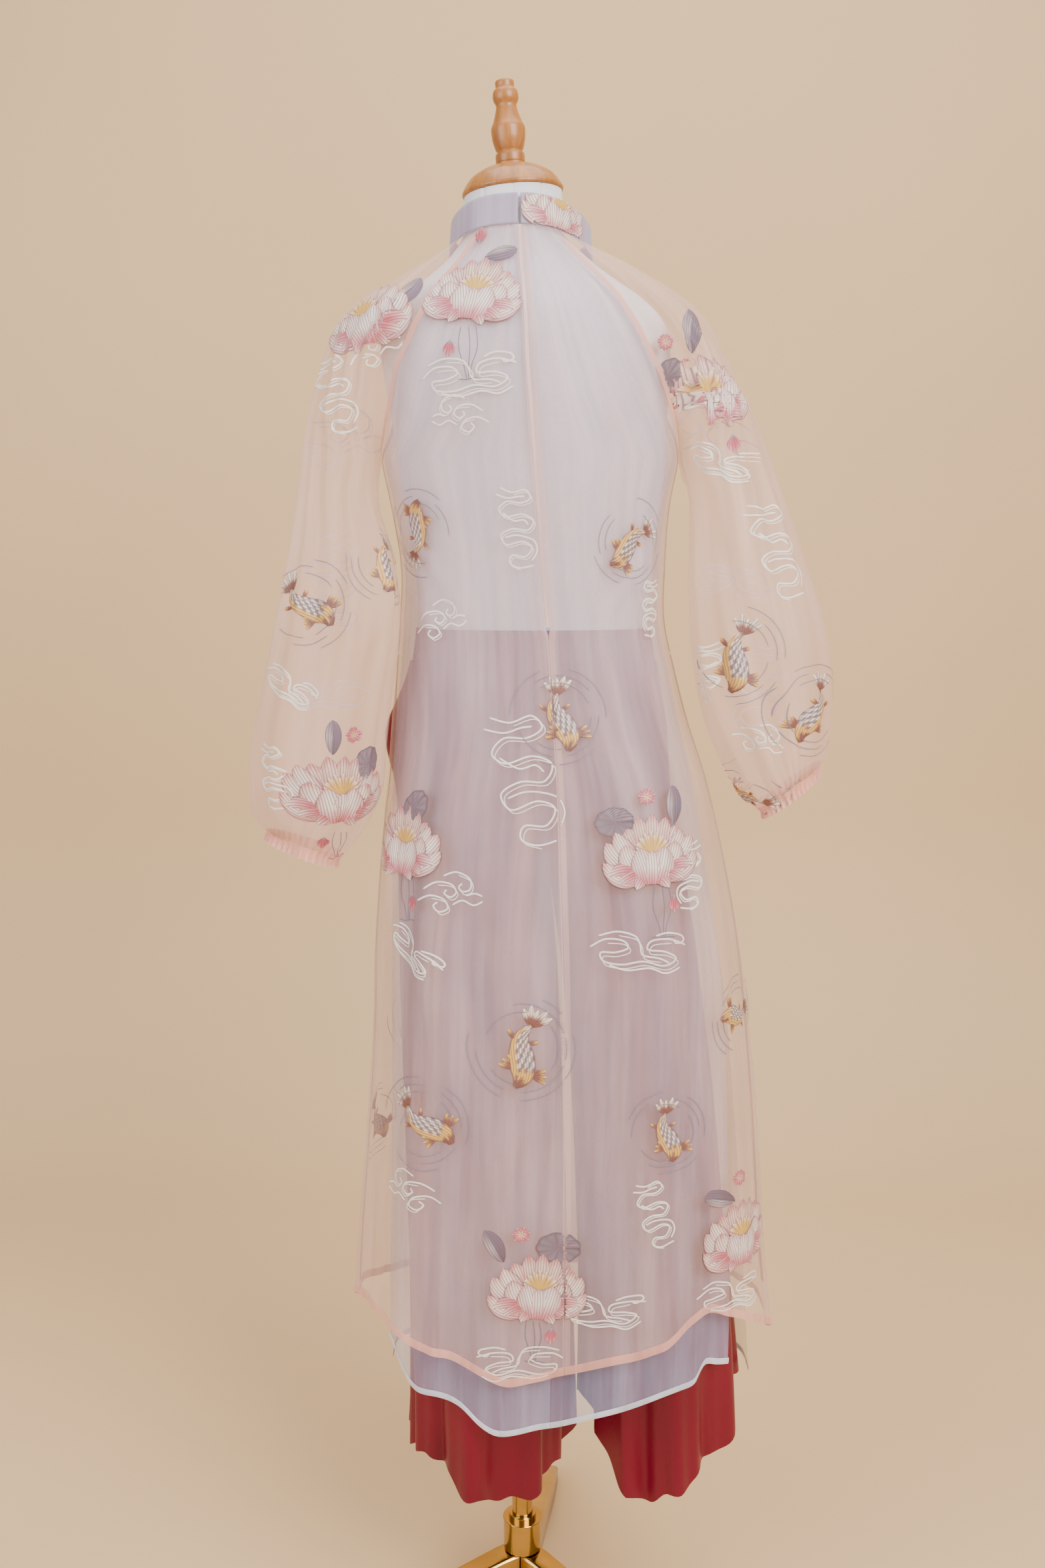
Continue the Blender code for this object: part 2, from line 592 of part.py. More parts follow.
def sleeve(name, side, yoke, tube):
    gap = side * 2 * SEAM / outer_section(NECKLINE_LEVEL).back
    neck = spread(
        raglan_angle(RAGLAN[0], side, False) + gap,
        raglan_angle(RAGLAN[0], side, True) - gap,
        SLEEVE_COLUMNS,
    )
    rows = [[
        around(outer_section(neckline_z(NECKLINE_LEVEL, angle)), angle, neckline_z(NECKLINE_LEVEL, angle))
        for angle in neck
    ]]
    seams = RAGLAN[1:] + (Raglan(UNDERARM_Z, None),)
    for ring, seam in zip(yoke, seams):
        outer = Vector((ring.x, 0, ring.z))
        if seam.reach:
            back = raglan_point(seam, side, False, 2 * SEAM)
            front = raglan_point(seam, side, True, 2 * SEAM)
        else:
            section = outer_section(UNDERARM_Z)
            x = (section.right if side > 0 else section.left) + side * 2 * SEAM
            back = Vector((x, -SEAM, UNDERARM_Z))
            front = Vector((x, SEAM, UNDERARM_Z))
        rows.append(tube_row(back, front, outer, ring.depth, SLEEVE_COLUMNS))
    for i, ring in enumerate(tube):
        inner = Vector((ring.inner_x, -ring.back, ring.inner_z))
        outer = Vector((ring.outer_x, -ring.back, ring.outer_z))
        to_back = Vector((0, -SEAM, 0))
        ripple = {len(tube) - 2: CUFF_GATHER, len(tube) - 1: CUFF_FRILL}.get(i, 0)
        rows.append(
            tube_row(inner + to_back, inner - to_back, outer, ring.depth, SLEEVE_COLUMNS, ripple)
        )
    if side > 0:
        rows = [row[::-1] for row in rows]
    return cloth(name, rows, "embroidered organza")


def trouser_leg(name, side, levels, hem):
    """One leg with its half of the seat: open at the centre seams above the crotch, a tube below."""
    rows = []
    for level in levels:
        middle_y = (level.front - level.back) / 2
        depth = (level.front + level.back) / 2
        back = Vector((level.inner, -level.edge_back, level.z))
        front = Vector((level.inner, level.edge_front, level.z))
        if level.edge_back < CLOSED_EDGE:
            back.y += middle_y
            front.y += middle_y
        outer = Vector((level.outer, middle_y, level.z))
        row = tube_row(back, front, outer, depth, LEG_COLUMNS)
        deep = LEG_WAVE_DEPTH * max(0, (LEG_WAVE_TOP - level.z) / LEG_WAVE_TOP)
        middle = (outer + back) / 2
        for i, point in enumerate(row):
            wave = deep * (cos(FULL_TURN * LEG_WAVES * i / LEG_COLUMNS) - 1) / 2
            row[i] = point + (point - middle).normalized() * wave
            if level is levels[-1]:
                row[i].z = hem_z(hem, i / LEG_COLUMNS)
        rows.append(row)
    if side > 0:
        rows = [row[::-1] for row in rows]
    return cloth(name, rows, "red satin")


def waistband():
    rows = []
    for z in (WAIST_Z - WAISTBAND_HEIGHT, WAIST_Z - WAISTBAND_HEIGHT / 2, WAIST_Z):
        form = between(FORM, z)
        section = Section(
            z, form.left - WAISTBAND_DEPTH, form.mid, form.right + WAISTBAND_DEPTH,
            form.back + WAISTBAND_DEPTH, form.front + WAISTBAND_DEPTH, 2.0,
        )
        gap = SEAM / 2 / section.back
        rows.append([around(section, angle, z) for angle in spread(gap, FULL_TURN - gap, BAND_COLUMNS)])
    return cloth("trouser_waistband", rows, "red satin")


def collar():
    """A stand band round the neck, open at the centre back."""
    rows = []
    for share in (0, 0.5, 1):
        row = []
        for angle in spread(COLLAR_OPENING, FULL_TURN - COLLAR_OPENING, COLLAR_COLUMNS):
            foot_z = neckline_z(NECKLINE_LEVEL, angle)
            foot = around(outer_section(foot_z), angle, foot_z)
            inward = Vector((foot.x - NECK_CENTRE_X, foot.y, 0)).normalized()
            row.append(
                foot - inward * (COLLAR_INSET + COLLAR_LEAN * share)
                + Vector((0, 0, COLLAR_LIFT + COLLAR_HEIGHT * share))
            )
        rows.append(row)
    return cloth("collar", rows, "embroidered organza")


def zip_strip():
    """The concealed zip's ridge in the centre-back seam, from the neckline to the waist."""
    rows = []
    levels = [z for z in SKIRT_LEVELS if z > WAIST_Z]
    levels += [row.level for row in reversed(RAGLAN)]
    for level in levels:
        z = neckline_z(level, 0)
        section = outer_section(z)
        left, right = (turn_at(section, side, ZIP_WIDTH / 2) for side in (-1, 1))
        rows.append([around(section, angle, z) for angle in (-left, 0, right)])
    return cloth("back_zip", rows, "zip tape", ZIP_WALL)


def dress_form():
    rings = []
    for section in FORM:
        ring = []
        for i in range(FORM_COLUMNS):
            point = around(section, FULL_TURN * i / FORM_COLUMNS, section.z)
            lean = min(max((section.z - NECK_FOOT) / (NECK_TOP - NECK_FOOT), 0), 1)
            point.z += lean * (point.x - NECK_CENTRE_X) * tan(TOP_TILT)
            ring.append(point)
        rings.append(ring)
    return closed_loft("dress_form", rings, "form cloth")


def topping():
    """The wooden cap and finial, which lean with the neck."""
    stand = Matrix.Translation((NECK_CENTRE_X, 0, NECK_TOP + SEAM))
    lean = Matrix.Rotation(-TOP_TILT, 4, "Y")
    cap = turned("neck_cap", CAP_OUTLINE, 24, "turned wood")
    cap.matrix_world = stand @ lean
    finial = turned("finial", FINIAL_OUTLINE, 16, "turned wood")
    finial.matrix_world = stand @ lean @ Matrix.Translation((0, 0, CAP_HEIGHT + SEAM))


def stand_leg(name, degrees):
    rings = []
    for at in LEG_STATIONS:
        chamfer = min(LEG_CHAMFER, at.half_width * 0.5)
        outline = (
            (-at.half_width, at.bottom), (at.half_width, at.bottom),
            (at.half_width, at.top - chamfer), (at.half_width - chamfer, at.top),
            (chamfer - at.half_width, at.top), (-at.half_width, at.top - chamfer),
        )
        rings.append([Vector((at.reach, across, z)) for across, z in outline])
    leg = closed_loft(name, rings, "brass")
    leg.matrix_world = Matrix.Rotation(radians(degrees), 4, "Z")


def stand():
    turned("base_hub", HUB_OUTLINE, 24, "brass")
    foot = HUB_TOP + POLE_COLLAR_HEIGHT + SEAM
    turned("pole", (Turn(POLE_RADIUS, foot), Turn(POLE_RADIUS, FORM_BOTTOM - SEAM)), 20, "brass")
    for name, degrees in LEG_DIRECTIONS.items():
        stand_leg(name, degrees)


def centre_on_origin():
    """Moves everything together, so that the origin is under the middle of the outline."""
    bpy.context.view_layer.update()
    points = [obj.matrix_world @ Vector(corner) for obj in bpy.data.objects for corner in obj.bound_box]
    shift = Vector((
        -(min(p.x for p in points) + max(p.x for p in points)) / 2,
        -(min(p.y for p in points) + max(p.y for p in points)) / 2,
        -min(p.z for p in points),
    ))
    for obj in bpy.data.objects:
        obj.matrix_world = Matrix.Translation(shift) @ obj.matrix_world


def main():
    clear_scene()
    stand()
    dress_form()
    topping()
    waistband()
    trouser_leg("trouser_left", -1, LEFT_LEG, LEFT_LEG_HEM)
    trouser_leg("trouser_right", 1, RIGHT_LEG, RIGHT_LEG_HEM)
    slip = (SLIP_FOLD_SHARE, SLIP_LEVELS, SLIP_BACK_HEM, SLIP_HEM_ROW_TOP, SLIP_BACK_COLUMNS)
    back_half("slip_back_left", slip_section, -1, *slip, "lilac lining")
    back_half("slip_back_right", slip_section, 1, *slip, "lilac lining", SLIP_BACK_WRAP)
    front_piece(
        "slip_front", slip_section, SLIP_FOLD_SHARE, SLIP_LEVELS, SLIP_FRONT_HEM,
        SLIP_HEM_ROW_TOP, SLIP_FRONT_COLUMNS, "lilac lining",
    )
    outer = (1, SKIRT_LEVELS, BACK_HEM, HEM_ROW_TOP, BACK_COLUMNS, "embroidered organza")
    back_half("back_left", outer_section, -1, *outer)
    back_half("back_right", outer_section, 1, *outer)
    front_piece(
        "front", outer_section, 1, SKIRT_LEVELS, FRONT_HEM, HEM_ROW_TOP, FRONT_COLUMNS,
        "embroidered organza",
    )
    zip_strip()
    collar()
    sleeve("sleeve_left", -1, LEFT_YOKE, LEFT_TUBE)
    sleeve("sleeve_right", 1, RIGHT_YOKE, RIGHT_TUBE)
    centre_on_origin()


main()
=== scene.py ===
"""An ao dai on a dress form: sheer embroidered organza over a lilac slip and wide satin trousers.
Metres, +Z up. The back of the garment faces -Y, and the wearer's right is +X."""

import json
from bisect import bisect_right
from collections import namedtuple
from math import asin, cos, pi, radians, sin, tan

import bmesh
import bpy
import numpy as np
from bpy.props import FloatProperty, FloatVectorProperty, IntProperty, PointerProperty
from mathutils import Matrix, Vector
from mathutils.bvhtree import BVHTree

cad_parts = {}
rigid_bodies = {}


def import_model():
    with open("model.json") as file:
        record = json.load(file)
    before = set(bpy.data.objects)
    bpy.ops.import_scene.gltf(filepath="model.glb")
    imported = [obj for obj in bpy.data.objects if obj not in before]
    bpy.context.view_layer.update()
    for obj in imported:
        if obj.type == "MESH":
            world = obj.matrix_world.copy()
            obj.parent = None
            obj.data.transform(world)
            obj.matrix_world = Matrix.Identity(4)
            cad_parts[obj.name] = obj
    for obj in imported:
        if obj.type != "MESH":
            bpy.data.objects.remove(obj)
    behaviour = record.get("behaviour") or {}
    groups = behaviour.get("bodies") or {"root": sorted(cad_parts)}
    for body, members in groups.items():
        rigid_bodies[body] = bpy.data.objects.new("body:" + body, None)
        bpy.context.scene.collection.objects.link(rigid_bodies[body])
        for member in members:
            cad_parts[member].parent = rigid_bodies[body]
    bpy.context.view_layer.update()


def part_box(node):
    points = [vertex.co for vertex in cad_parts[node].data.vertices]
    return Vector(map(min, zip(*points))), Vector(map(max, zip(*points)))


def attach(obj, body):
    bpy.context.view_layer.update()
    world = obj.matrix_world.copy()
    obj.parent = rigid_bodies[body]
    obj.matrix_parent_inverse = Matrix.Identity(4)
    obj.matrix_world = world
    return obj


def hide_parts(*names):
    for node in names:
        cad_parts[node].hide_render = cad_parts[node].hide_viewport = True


bl_info = {
    "name": "Ao dai on a dress form",
    "version": (1, 0, 0),
    "blender": (4, 5, 0),
    "location": "View3D > Sidebar > Ao dai",
    "description": "Builds a sheer embroidered ao dai, its slip, trousers, dress form and stand",
    "category": "Object",
}

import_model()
POLE_LOW, POLE_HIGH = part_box("pole")
AXIS = Vector(((POLE_LOW.x + POLE_HIGH.x) / 2, (POLE_LOW.y + POLE_HIGH.y) / 2, 0))


def srgb(red, green, blue):
    """A display colour (0 to 255) as the linear values that a shader takes."""
    return tuple(
        (c / 255 / 12.92) if c <= 10 else ((c / 255 + 0.055) / 1.055) ** 2.4 for c in (red, green, blue)
    )


# ---- The cut: the same sizes as the solids, about the stand's pole ----

SEAM = 0.0003
SIDE_GAP = 0.0003
FULL_TURN = 2 * pi
RIGHT_ANGLE = pi / 2
UNDERARM_Z = 1.371
NECKLINE_LEVEL = 1.580
NAPE_Z = 1.603
NECKLINE_DROP = 0.043
LEVEL_ROWS_END = 1.500
SLIT_TOP = 1.165
WAIST_Z = 1.192
HEM_ROW_TOP = 0.450
SKIRT_START = 0.520
SLIP_DEPTH = 0.0028
ZIP_WIDTH = 0.0040
COLLAR_HEIGHT = 0.031
COLLAR_LEAN = 0.002
COLLAR_INSET = 0.0010
COLLAR_LIFT = 0.0005
COLLAR_OPENING = radians(1.5)
CUFF_GATHER = 0.0016
CUFF_FRILL = 0.0030
WAISTBAND_HEIGHT = 0.036
WAISTBAND_DEPTH = 0.0026
FORM_BOTTOM = 0.950
NECK_FOOT = 1.604
NECK_TOP = 1.645
NECK_CENTRE_X = -0.010
TOP_TILT = radians(4.5)
SLIP_BACK_WRAP = radians(38)
SLIT_GAPE = radians(5)
SLIT_GAPE_HEIGHT = 0.19
SLIT_SWELL = 0.017

def table(kind, rows):
    return tuple(kind(*row) for row in rows)


Section = namedtuple("Section", "z left mid right back front power")
OUTER = table(Section, (
    (0.360, -0.192, 0.045, 0.286, 0.150, 0.128, 2.5), (0.486, -0.186, 0.045, 0.273, 0.150, 0.128, 2.5),
    (0.620, -0.176, 0.045, 0.265, 0.148, 0.127, 2.5), (0.746, -0.168, 0.044, 0.254, 0.146, 0.126, 2.5),
    (0.844, -0.165, 0.043, 0.242, 0.142, 0.124, 2.6), (0.936, -0.158, 0.040, 0.225, 0.136, 0.121, 2.5),
    (1.026, -0.149, 0.037, 0.203, 0.127, 0.115, 2.35), (1.090, -0.144, 0.033, 0.182, 0.118, 0.109, 2.1),
    (1.150, -0.138, 0.029, 0.166, 0.106, 0.104, 2.0), (1.200, -0.134, 0.026, 0.155, 0.096, 0.102, 2.0),
    (1.258, -0.132, 0.021, 0.155, 0.097, 0.110, 2.0), (1.322, -0.142, 0.016, 0.159, 0.102, 0.128, 2.0),
    (1.371, -0.152, 0.012, 0.168, 0.104, 0.131, 2.0), (1.397, -0.154, 0.010, 0.169, 0.106, 0.126, 2.0),
    (1.425, -0.155, 0.008, 0.169, 0.107, 0.118, 2.0), (1.463, -0.158, 0.005, 0.168, 0.106, 0.104, 2.0),
    (1.489, -0.161, 0.004, 0.167, 0.103, 0.091, 2.0), (1.512, -0.160, 0.003, 0.163, 0.097, 0.082, 2.0),
    (1.540, -0.137, 0.001, 0.139, 0.084, 0.069, 2.0), (1.562, -0.107, -0.001, 0.108, 0.073, 0.063, 2.0),
    (1.580, -0.084, -0.002, 0.081, 0.065, 0.0590, 2.0), (1.603, -0.068, -0.003, 0.053, 0.060, 0.0580, 2.0),
))
SLIP_SKIRT = table(Section, (
    (0.310, -0.153, 0.030, 0.268, 0.139, 0.118, 2.6), (0.486, -0.151, 0.032, 0.257, 0.139, 0.118, 2.6),
    (0.620, -0.149, 0.034, 0.246, 0.137, 0.117, 2.5), (0.746, -0.148, 0.036, 0.234, 0.135, 0.116, 2.5),
    (0.844, -0.147, 0.036, 0.220, 0.131, 0.114, 2.6), (0.936, -0.1455, 0.036, 0.204, 0.126, 0.111, 2.5),
    (1.026, -0.1440, 0.035, 0.188, 0.119, 0.107, 2.3), (1.090, -0.1400, 0.032, 0.172, 0.111, 0.103, 2.1),
    (1.150, -0.1335, 0.028, 0.159, 0.101, 0.100, 2.0),
))
FORM = table(Section, (
    (0.950, -0.106, 0.012, 0.130, 0.088, 0.080, 2.0), (0.965, -0.122, 0.012, 0.146, 0.096, 0.086, 2.0),
    (1.030, -0.135, 0.012, 0.159, 0.104, 0.093, 2.0), (1.090, -0.131, 0.012, 0.155, 0.100, 0.092, 2.0),
    (1.150, -0.120, 0.012, 0.144, 0.086, 0.088, 2.0), (1.195, -0.114, 0.012, 0.138, 0.078, 0.088, 2.0),
    (1.250, -0.117, 0.011, 0.139, 0.082, 0.096, 2.0), (1.310, -0.127, 0.010, 0.147, 0.090, 0.115, 2.0),
    (1.350, -0.133, 0.010, 0.153, 0.095, 0.124, 2.0), (1.400, -0.138, 0.008, 0.155, 0.099, 0.117, 2.0),
    (1.450, -0.147, 0.005, 0.157, 0.100, 0.099, 2.0), (1.490, -0.152, 0.003, 0.158, 0.096, 0.082, 2.0),
    (1.516, -0.148, 0.001, 0.150, 0.088, 0.071, 2.0), (1.540, -0.127, -0.001, 0.126, 0.077, 0.061, 2.0),
    (1.562, -0.099, -0.003, 0.093, 0.066, 0.055, 2.0), (1.582, -0.076, -0.005, 0.067, 0.057, 0.0515, 2.0),
    (1.604, -0.0625, -0.009, 0.0450, 0.0535, 0.0510, 2.0),
    (1.625, -0.0620, -0.010, 0.0430, 0.0525, 0.0515, 2.0),
    (1.645, -0.0615, -0.010, 0.0415, 0.0515, 0.0515, 2.0),
))

# Turn of the raglan seam from the centre seam, by its distance from it at each level
Raglan = namedtuple("Raglan", "level reach")
RAGLAN = table(Raglan, (
    (1.580, 0.0560), (1.562, 0.0750), (1.540, 0.0930), (1.512, 0.1100), (1.489, 0.1230), (1.463, 0.1370),
    (1.425, 0.1490), (1.397, 0.1570),
))

# A fold's middle at the waist and at the hem in degrees from the centre back, its width, depth and top
Fold = namedtuple("Fold", "upper lower width depth top")
BACK_FOLDS = table(Fold, (
    (-62, -74, 9, 0.009, 1.10), (-34, -44, 8, 0.013, 1.16), (-12, -16, 7, 0.010, 1.06),
    (6, 10, 8, 0.014, 1.14), (28, 34, 7, 0.009, 1.00), (46, 55, 9, 0.013, 1.12), (70, 78, 8, 0.008, 0.96),
))
FRONT_FOLDS = table(Fold, (
    (112, 106, 9, 0.008, 1.08), (140, 136, 9, 0.012, 1.12), (166, 168, 8, 0.009, 1.04),
    (190, 196, 8, 0.011, 1.10), (218, 226, 9, 0.010, 1.06), (248, 254, 8, 0.008, 1.00),
))
# Smaller folds between the large ones
SMALL_BACK_FOLDS = table(Fold, (
    (-80, -84, 3.5, 0.003, 0.90), (-50, -60, 3.2, 0.004, 1.08), (-24, -31, 3.0, 0.0045, 1.12),
    (-4, -3, 2.6, 0.0035, 0.86), (16, 22, 3.2, 0.004, 1.06), (38, 44, 3.0, 0.0045, 1.10),
    (60, 66, 3.4, 0.004, 0.98), (82, 86, 3.0, 0.003, 0.80),
))
SMALL_FRONT_FOLDS = table(Fold, (
    (98, 96, 3.4, 0.003, 0.94), (126, 121, 3.2, 0.004, 1.04), (152, 151, 3.0, 0.0035, 0.98),
    (178, 182, 3.0, 0.004, 1.00), (204, 211, 3.2, 0.0035, 1.02), (233, 240, 3.0, 0.004, 1.02),
    (262, 264, 3.2, 0.003, 0.92),
))
SLIP_FOLD_SHARE = 0.45
FOLD_GROWTH = 0.7

# Height of a hem along a panel, from its first edge (0) to its last (1), or round a leg from its inner seam
Hem = namedtuple("Hem", "share z")
BACK_HEM = table(Hem, (
    (0.0, 0.412), (0.05, 0.432), (0.10, 0.445), (0.15, 0.442), (0.20, 0.435), (0.25, 0.430), (0.30, 0.413),
    (0.35, 0.408), (0.40, 0.399), (0.44, 0.384), (0.46, 0.385), (0.50, 0.398), (0.55, 0.415), (0.60, 0.418),
    (0.64, 0.428), (0.67, 0.448), (0.70, 0.458), (0.75, 0.447), (0.80, 0.434), (0.85, 0.420), (0.90, 0.406),
    (0.95, 0.391), (1.0, 0.373),
))
FRONT_HEM = table(Hem, (
    (0.0, 0.372), (0.15, 0.392), (0.4, 0.384), (0.7, 0.390), (1.0, 0.412),
))
SLIP_BACK_HEM = table(Hem, (
    (0.0, 0.351), (0.05, 0.375), (0.10, 0.384), (0.15, 0.364), (0.20, 0.352), (0.30, 0.352), (0.35, 0.346),
    (0.40, 0.327), (0.43, 0.318), (0.46, 0.319), (0.50, 0.328), (0.55, 0.338), (0.60, 0.345), (0.70, 0.353),
    (0.80, 0.364), (0.85, 0.369), (0.875, 0.380), (0.90, 0.387), (0.95, 0.383), (1.0, 0.380),
))
SLIP_FRONT_HEM = table(Hem, (
    (0.0, 0.312), (0.3, 0.318), (0.7, 0.322), (1.0, 0.330),
))
LEFT_LEG_HEM = table(Hem, (
    (0.0, 0.246), (0.1, 0.226), (0.21, 0.212), (0.29, 0.236), (0.38, 0.250), (0.5, 0.244), (0.65, 0.250),
    (0.8, 0.252), (1.0, 0.246),
))
RIGHT_LEG_HEM = table(Hem, (
    (0.0, 0.292), (0.07, 0.262), (0.13, 0.232), (0.2, 0.216), (0.28, 0.238), (0.37, 0.268), (0.5, 0.308),
    (0.65, 0.272), (0.8, 0.258), (0.92, 0.272), (1.0, 0.292),
))

Yoke = namedtuple("Yoke", "level x z depth")
RIGHT_YOKE = table(Yoke, (
    (1.562, 0.1060, 1.5740, 0.040), (1.540, 0.1350, 1.5600, 0.050), (1.512, 0.1680, 1.5430, 0.054),
    (1.489, 0.1930, 1.5240, 0.056), (1.463, 0.2130, 1.4940, 0.057), (1.425, 0.2310, 1.4550, 0.057),
    (1.397, 0.2460, 1.4250, 0.056), (1.371, 0.2570, 1.3970, 0.055),
))
LEFT_YOKE = table(Yoke, (
    (1.562, -0.1070, 1.5720, 0.040), (1.540, -0.1380, 1.5550, 0.050), (1.512, -0.1710, 1.5370, 0.054),
    (1.489, -0.1950, 1.5160, 0.056), (1.463, -0.2100, 1.4880, 0.057), (1.425, -0.2200, 1.4550, 0.057),
    (1.397, -0.2290, 1.4250, 0.056), (1.371, -0.2350, 1.3970, 0.055),
))
Tube = namedtuple("Tube", "outer_x outer_z inner_x inner_z depth back")
RIGHT_TUBE = table(Tube, (
    (0.274, 1.346, 0.1760, 1.330, 0.054, 0.008), (0.288, 1.308, 0.1760, 1.278, 0.056, 0.016),
    (0.302, 1.268, 0.1760, 1.225, 0.058, 0.024), (0.325, 1.203, 0.1800, 1.160, 0.060, 0.030),
    (0.336, 1.148, 0.1940, 1.092, 0.060, 0.032), (0.338, 1.097, 0.2200, 1.034, 0.054, 0.032),
    (0.334, 1.064, 0.2400, 1.004, 0.042, 0.032), (0.327, 1.045, 0.2590, 0.991, 0.027, 0.032),
    (0.328, 1.036, 0.2620, 0.983, 0.031, 0.032),
))
LEFT_TUBE = table(Tube, (
    (-0.239, 1.343, -0.1540, 1.328, 0.054, 0.014), (-0.247, 1.286, -0.1380, 1.272, 0.056, 0.032),
    (-0.262, 1.210, -0.1280, 1.200, 0.058, 0.046), (-0.277, 1.140, -0.1370, 1.130, 0.058, 0.052),
    (-0.291, 1.080, -0.1430, 1.072, 0.058, 0.054), (-0.297, 1.030, -0.1450, 1.034, 0.056, 0.054),
    (-0.296, 0.998, -0.1500, 1.012, 0.052, 0.054), (-0.290, 0.984, -0.1680, 0.976, 0.042, 0.054),
    (-0.280, 0.976, -0.1960, 0.943, 0.028, 0.054), (-0.2815, 0.967, -0.1990, 0.934, 0.032, 0.054),
))

Leg = namedtuple("Leg", "z outer inner back front edge_back edge_front")
LEFT_LEG = table(Leg, (
    (1.1557, -0.1235, 0.012, 0.0895, 0.0915, 0.0895, 0.0915),
    (1.090, -0.1350, 0.012, 0.1040, 0.0970, 0.1040, 0.0970),
    (1.030, -0.1390, 0.012, 0.1085, 0.0990, 0.1085, 0.0990),
    (0.975, -0.1390, 0.014, 0.1090, 0.0990, 0.1060, 0.0970),
    (0.938, -0.1390, 0.022, 0.1080, 0.0980, 0.0880, 0.0780),
    (0.916, -0.1390, 0.028, 0.1070, 0.0970, 0.0500, 0.0420),
    (0.900, -0.1390, 0.032, 0.1070, 0.0970, 0.0004, 0.0004),
    (0.800, -0.1390, 0.040, 0.1090, 0.0980, 0.0004, 0.0004),
    (0.650, -0.1380, 0.046, 0.1130, 0.0990, 0.0004, 0.0004),
    (0.500, -0.1370, 0.051, 0.1140, 0.1000, 0.0004, 0.0004),
    (0.400, -0.1360, 0.055, 0.1170, 0.1020, 0.0004, 0.0004),
    (0.262, -0.1370, 0.0555, 0.1150, 0.1000, 0.0004, 0.0004),
))
RIGHT_LEG = table(Leg, (
    (1.1557, 0.1475, 0.0123, 0.0895, 0.0915, 0.0895, 0.0915),
    (1.090, 0.1590, 0.0123, 0.1040, 0.0970, 0.1040, 0.0970),
    (1.030, 0.1635, 0.0123, 0.1085, 0.0990, 0.1085, 0.0990),
    (0.975, 0.1710, 0.0143, 0.1090, 0.0990, 0.1060, 0.0970),
    (0.938, 0.1780, 0.0223, 0.1080, 0.0980, 0.0880, 0.0780),
    (0.916, 0.1820, 0.0283, 0.1070, 0.0970, 0.0500, 0.0420),
    (0.900, 0.1850, 0.0323, 0.1070, 0.0970, 0.0004, 0.0004),
    (0.800, 0.2010, 0.0450, 0.1090, 0.0980, 0.0004, 0.0004),
    (0.650, 0.2220, 0.0560, 0.1130, 0.0990, 0.0004, 0.0004),
    (0.500, 0.2380, 0.0640, 0.1140, 0.1000, 0.0004, 0.0004),
    (0.400, 0.2500, 0.0680, 0.1170, 0.1020, 0.0004, 0.0004),
    (0.262, 0.2570, 0.0715, 0.1150, 0.1000, 0.0004, 0.0004),
))

# A crease from one point to another of a layer, in degrees round the body and metres of height
Crease = namedtuple("Crease", "turn_a z_a turn_b z_b width depth")
BODICE_CREASES = table(Crease, (
    (-78, 1.335, -30, 1.215, 0.007, 0.0016), (-66, 1.30, -24, 1.185, 0.006, 0.0014),
    (-84, 1.26, -42, 1.19, 0.006, 0.0015), (-55, 1.24, -36, 1.03, 0.011, 0.0035),
    (-30, 1.31, -38, 1.17, 0.009, 0.0018), (-14, 1.22, 6, 1.205, 0.005, 0.0014),
    (-22, 1.195, 14, 1.185, 0.005, 0.0012), (76, 1.33, 34, 1.225, 0.007, 0.0016),
    (62, 1.29, 26, 1.20, 0.006, 0.0014), (84, 1.25, 44, 1.19, 0.006, 0.0014),
    (48, 1.24, 40, 1.05, 0.010, 0.0032), (20, 1.26, 30, 1.12, 0.009, 0.0020),
    (10, 1.20, 40, 1.225, 0.005, 0.0012), (-58, 1.47, -40, 1.38, 0.008, 0.0015),
    (56, 1.46, 44, 1.37, 0.008, 0.0015), (24, 1.52, 34, 1.42, 0.008, 0.0012),
    (-70, 1.42, -62, 1.34, 0.008, 0.0014), (70, 1.43, 64, 1.34, 0.008, 0.0014),
))
SKIRT_CREASES = table(Crease, (
    (-70, 1.12, -58, 0.84, 0.010, 0.0030), (-46, 1.02, -30, 0.72, 0.012, 0.0034),
    (-10, 1.10, -24, 0.90, 0.010, 0.0026), (16, 1.08, 2, 0.80, 0.012, 0.0030),
    (34, 1.04, 20, 0.70, 0.012, 0.0030), (64, 1.06, 50, 0.80, 0.011, 0.0030),
    (-28, 0.80, -40, 0.52, 0.012, 0.0032), (40, 0.78, 30, 0.50, 0.012, 0.0030),
    (-66, 0.70, -54, 0.44, 0.010, 0.0028), (2, 0.74, 12, 0.46, 0.012, 0.0028),
    (74, 0.72, 62, 0.44, 0.010, 0.0028),
))
FRONT_CREASES = table(Crease, (
    (100, 1.33, 140, 1.27, 0.007, 0.0016), (104, 1.28, 150, 1.21, 0.007, 0.0015),
    (260, 1.33, 220, 1.27, 0.007, 0.0016), (256, 1.28, 208, 1.21, 0.007, 0.0015),
    (150, 1.20, 205, 1.195, 0.006, 0.0013), (122, 1.18, 134, 0.95, 0.011, 0.0032),
    (170, 1.12, 160, 0.86, 0.011, 0.0030), (200, 1.14, 214, 0.86, 0.011, 0.0032),
    (236, 1.16, 228, 0.90, 0.011, 0.0030), (180, 0.82, 172, 0.52, 0.012, 0.0030),
    (130, 0.80, 142, 0.50, 0.012, 0.0030), (232, 0.80, 244, 0.50, 0.012, 0.0030),
))
METRES_A_DEGREE = 0.0026
CREASE_FADE = 0.6

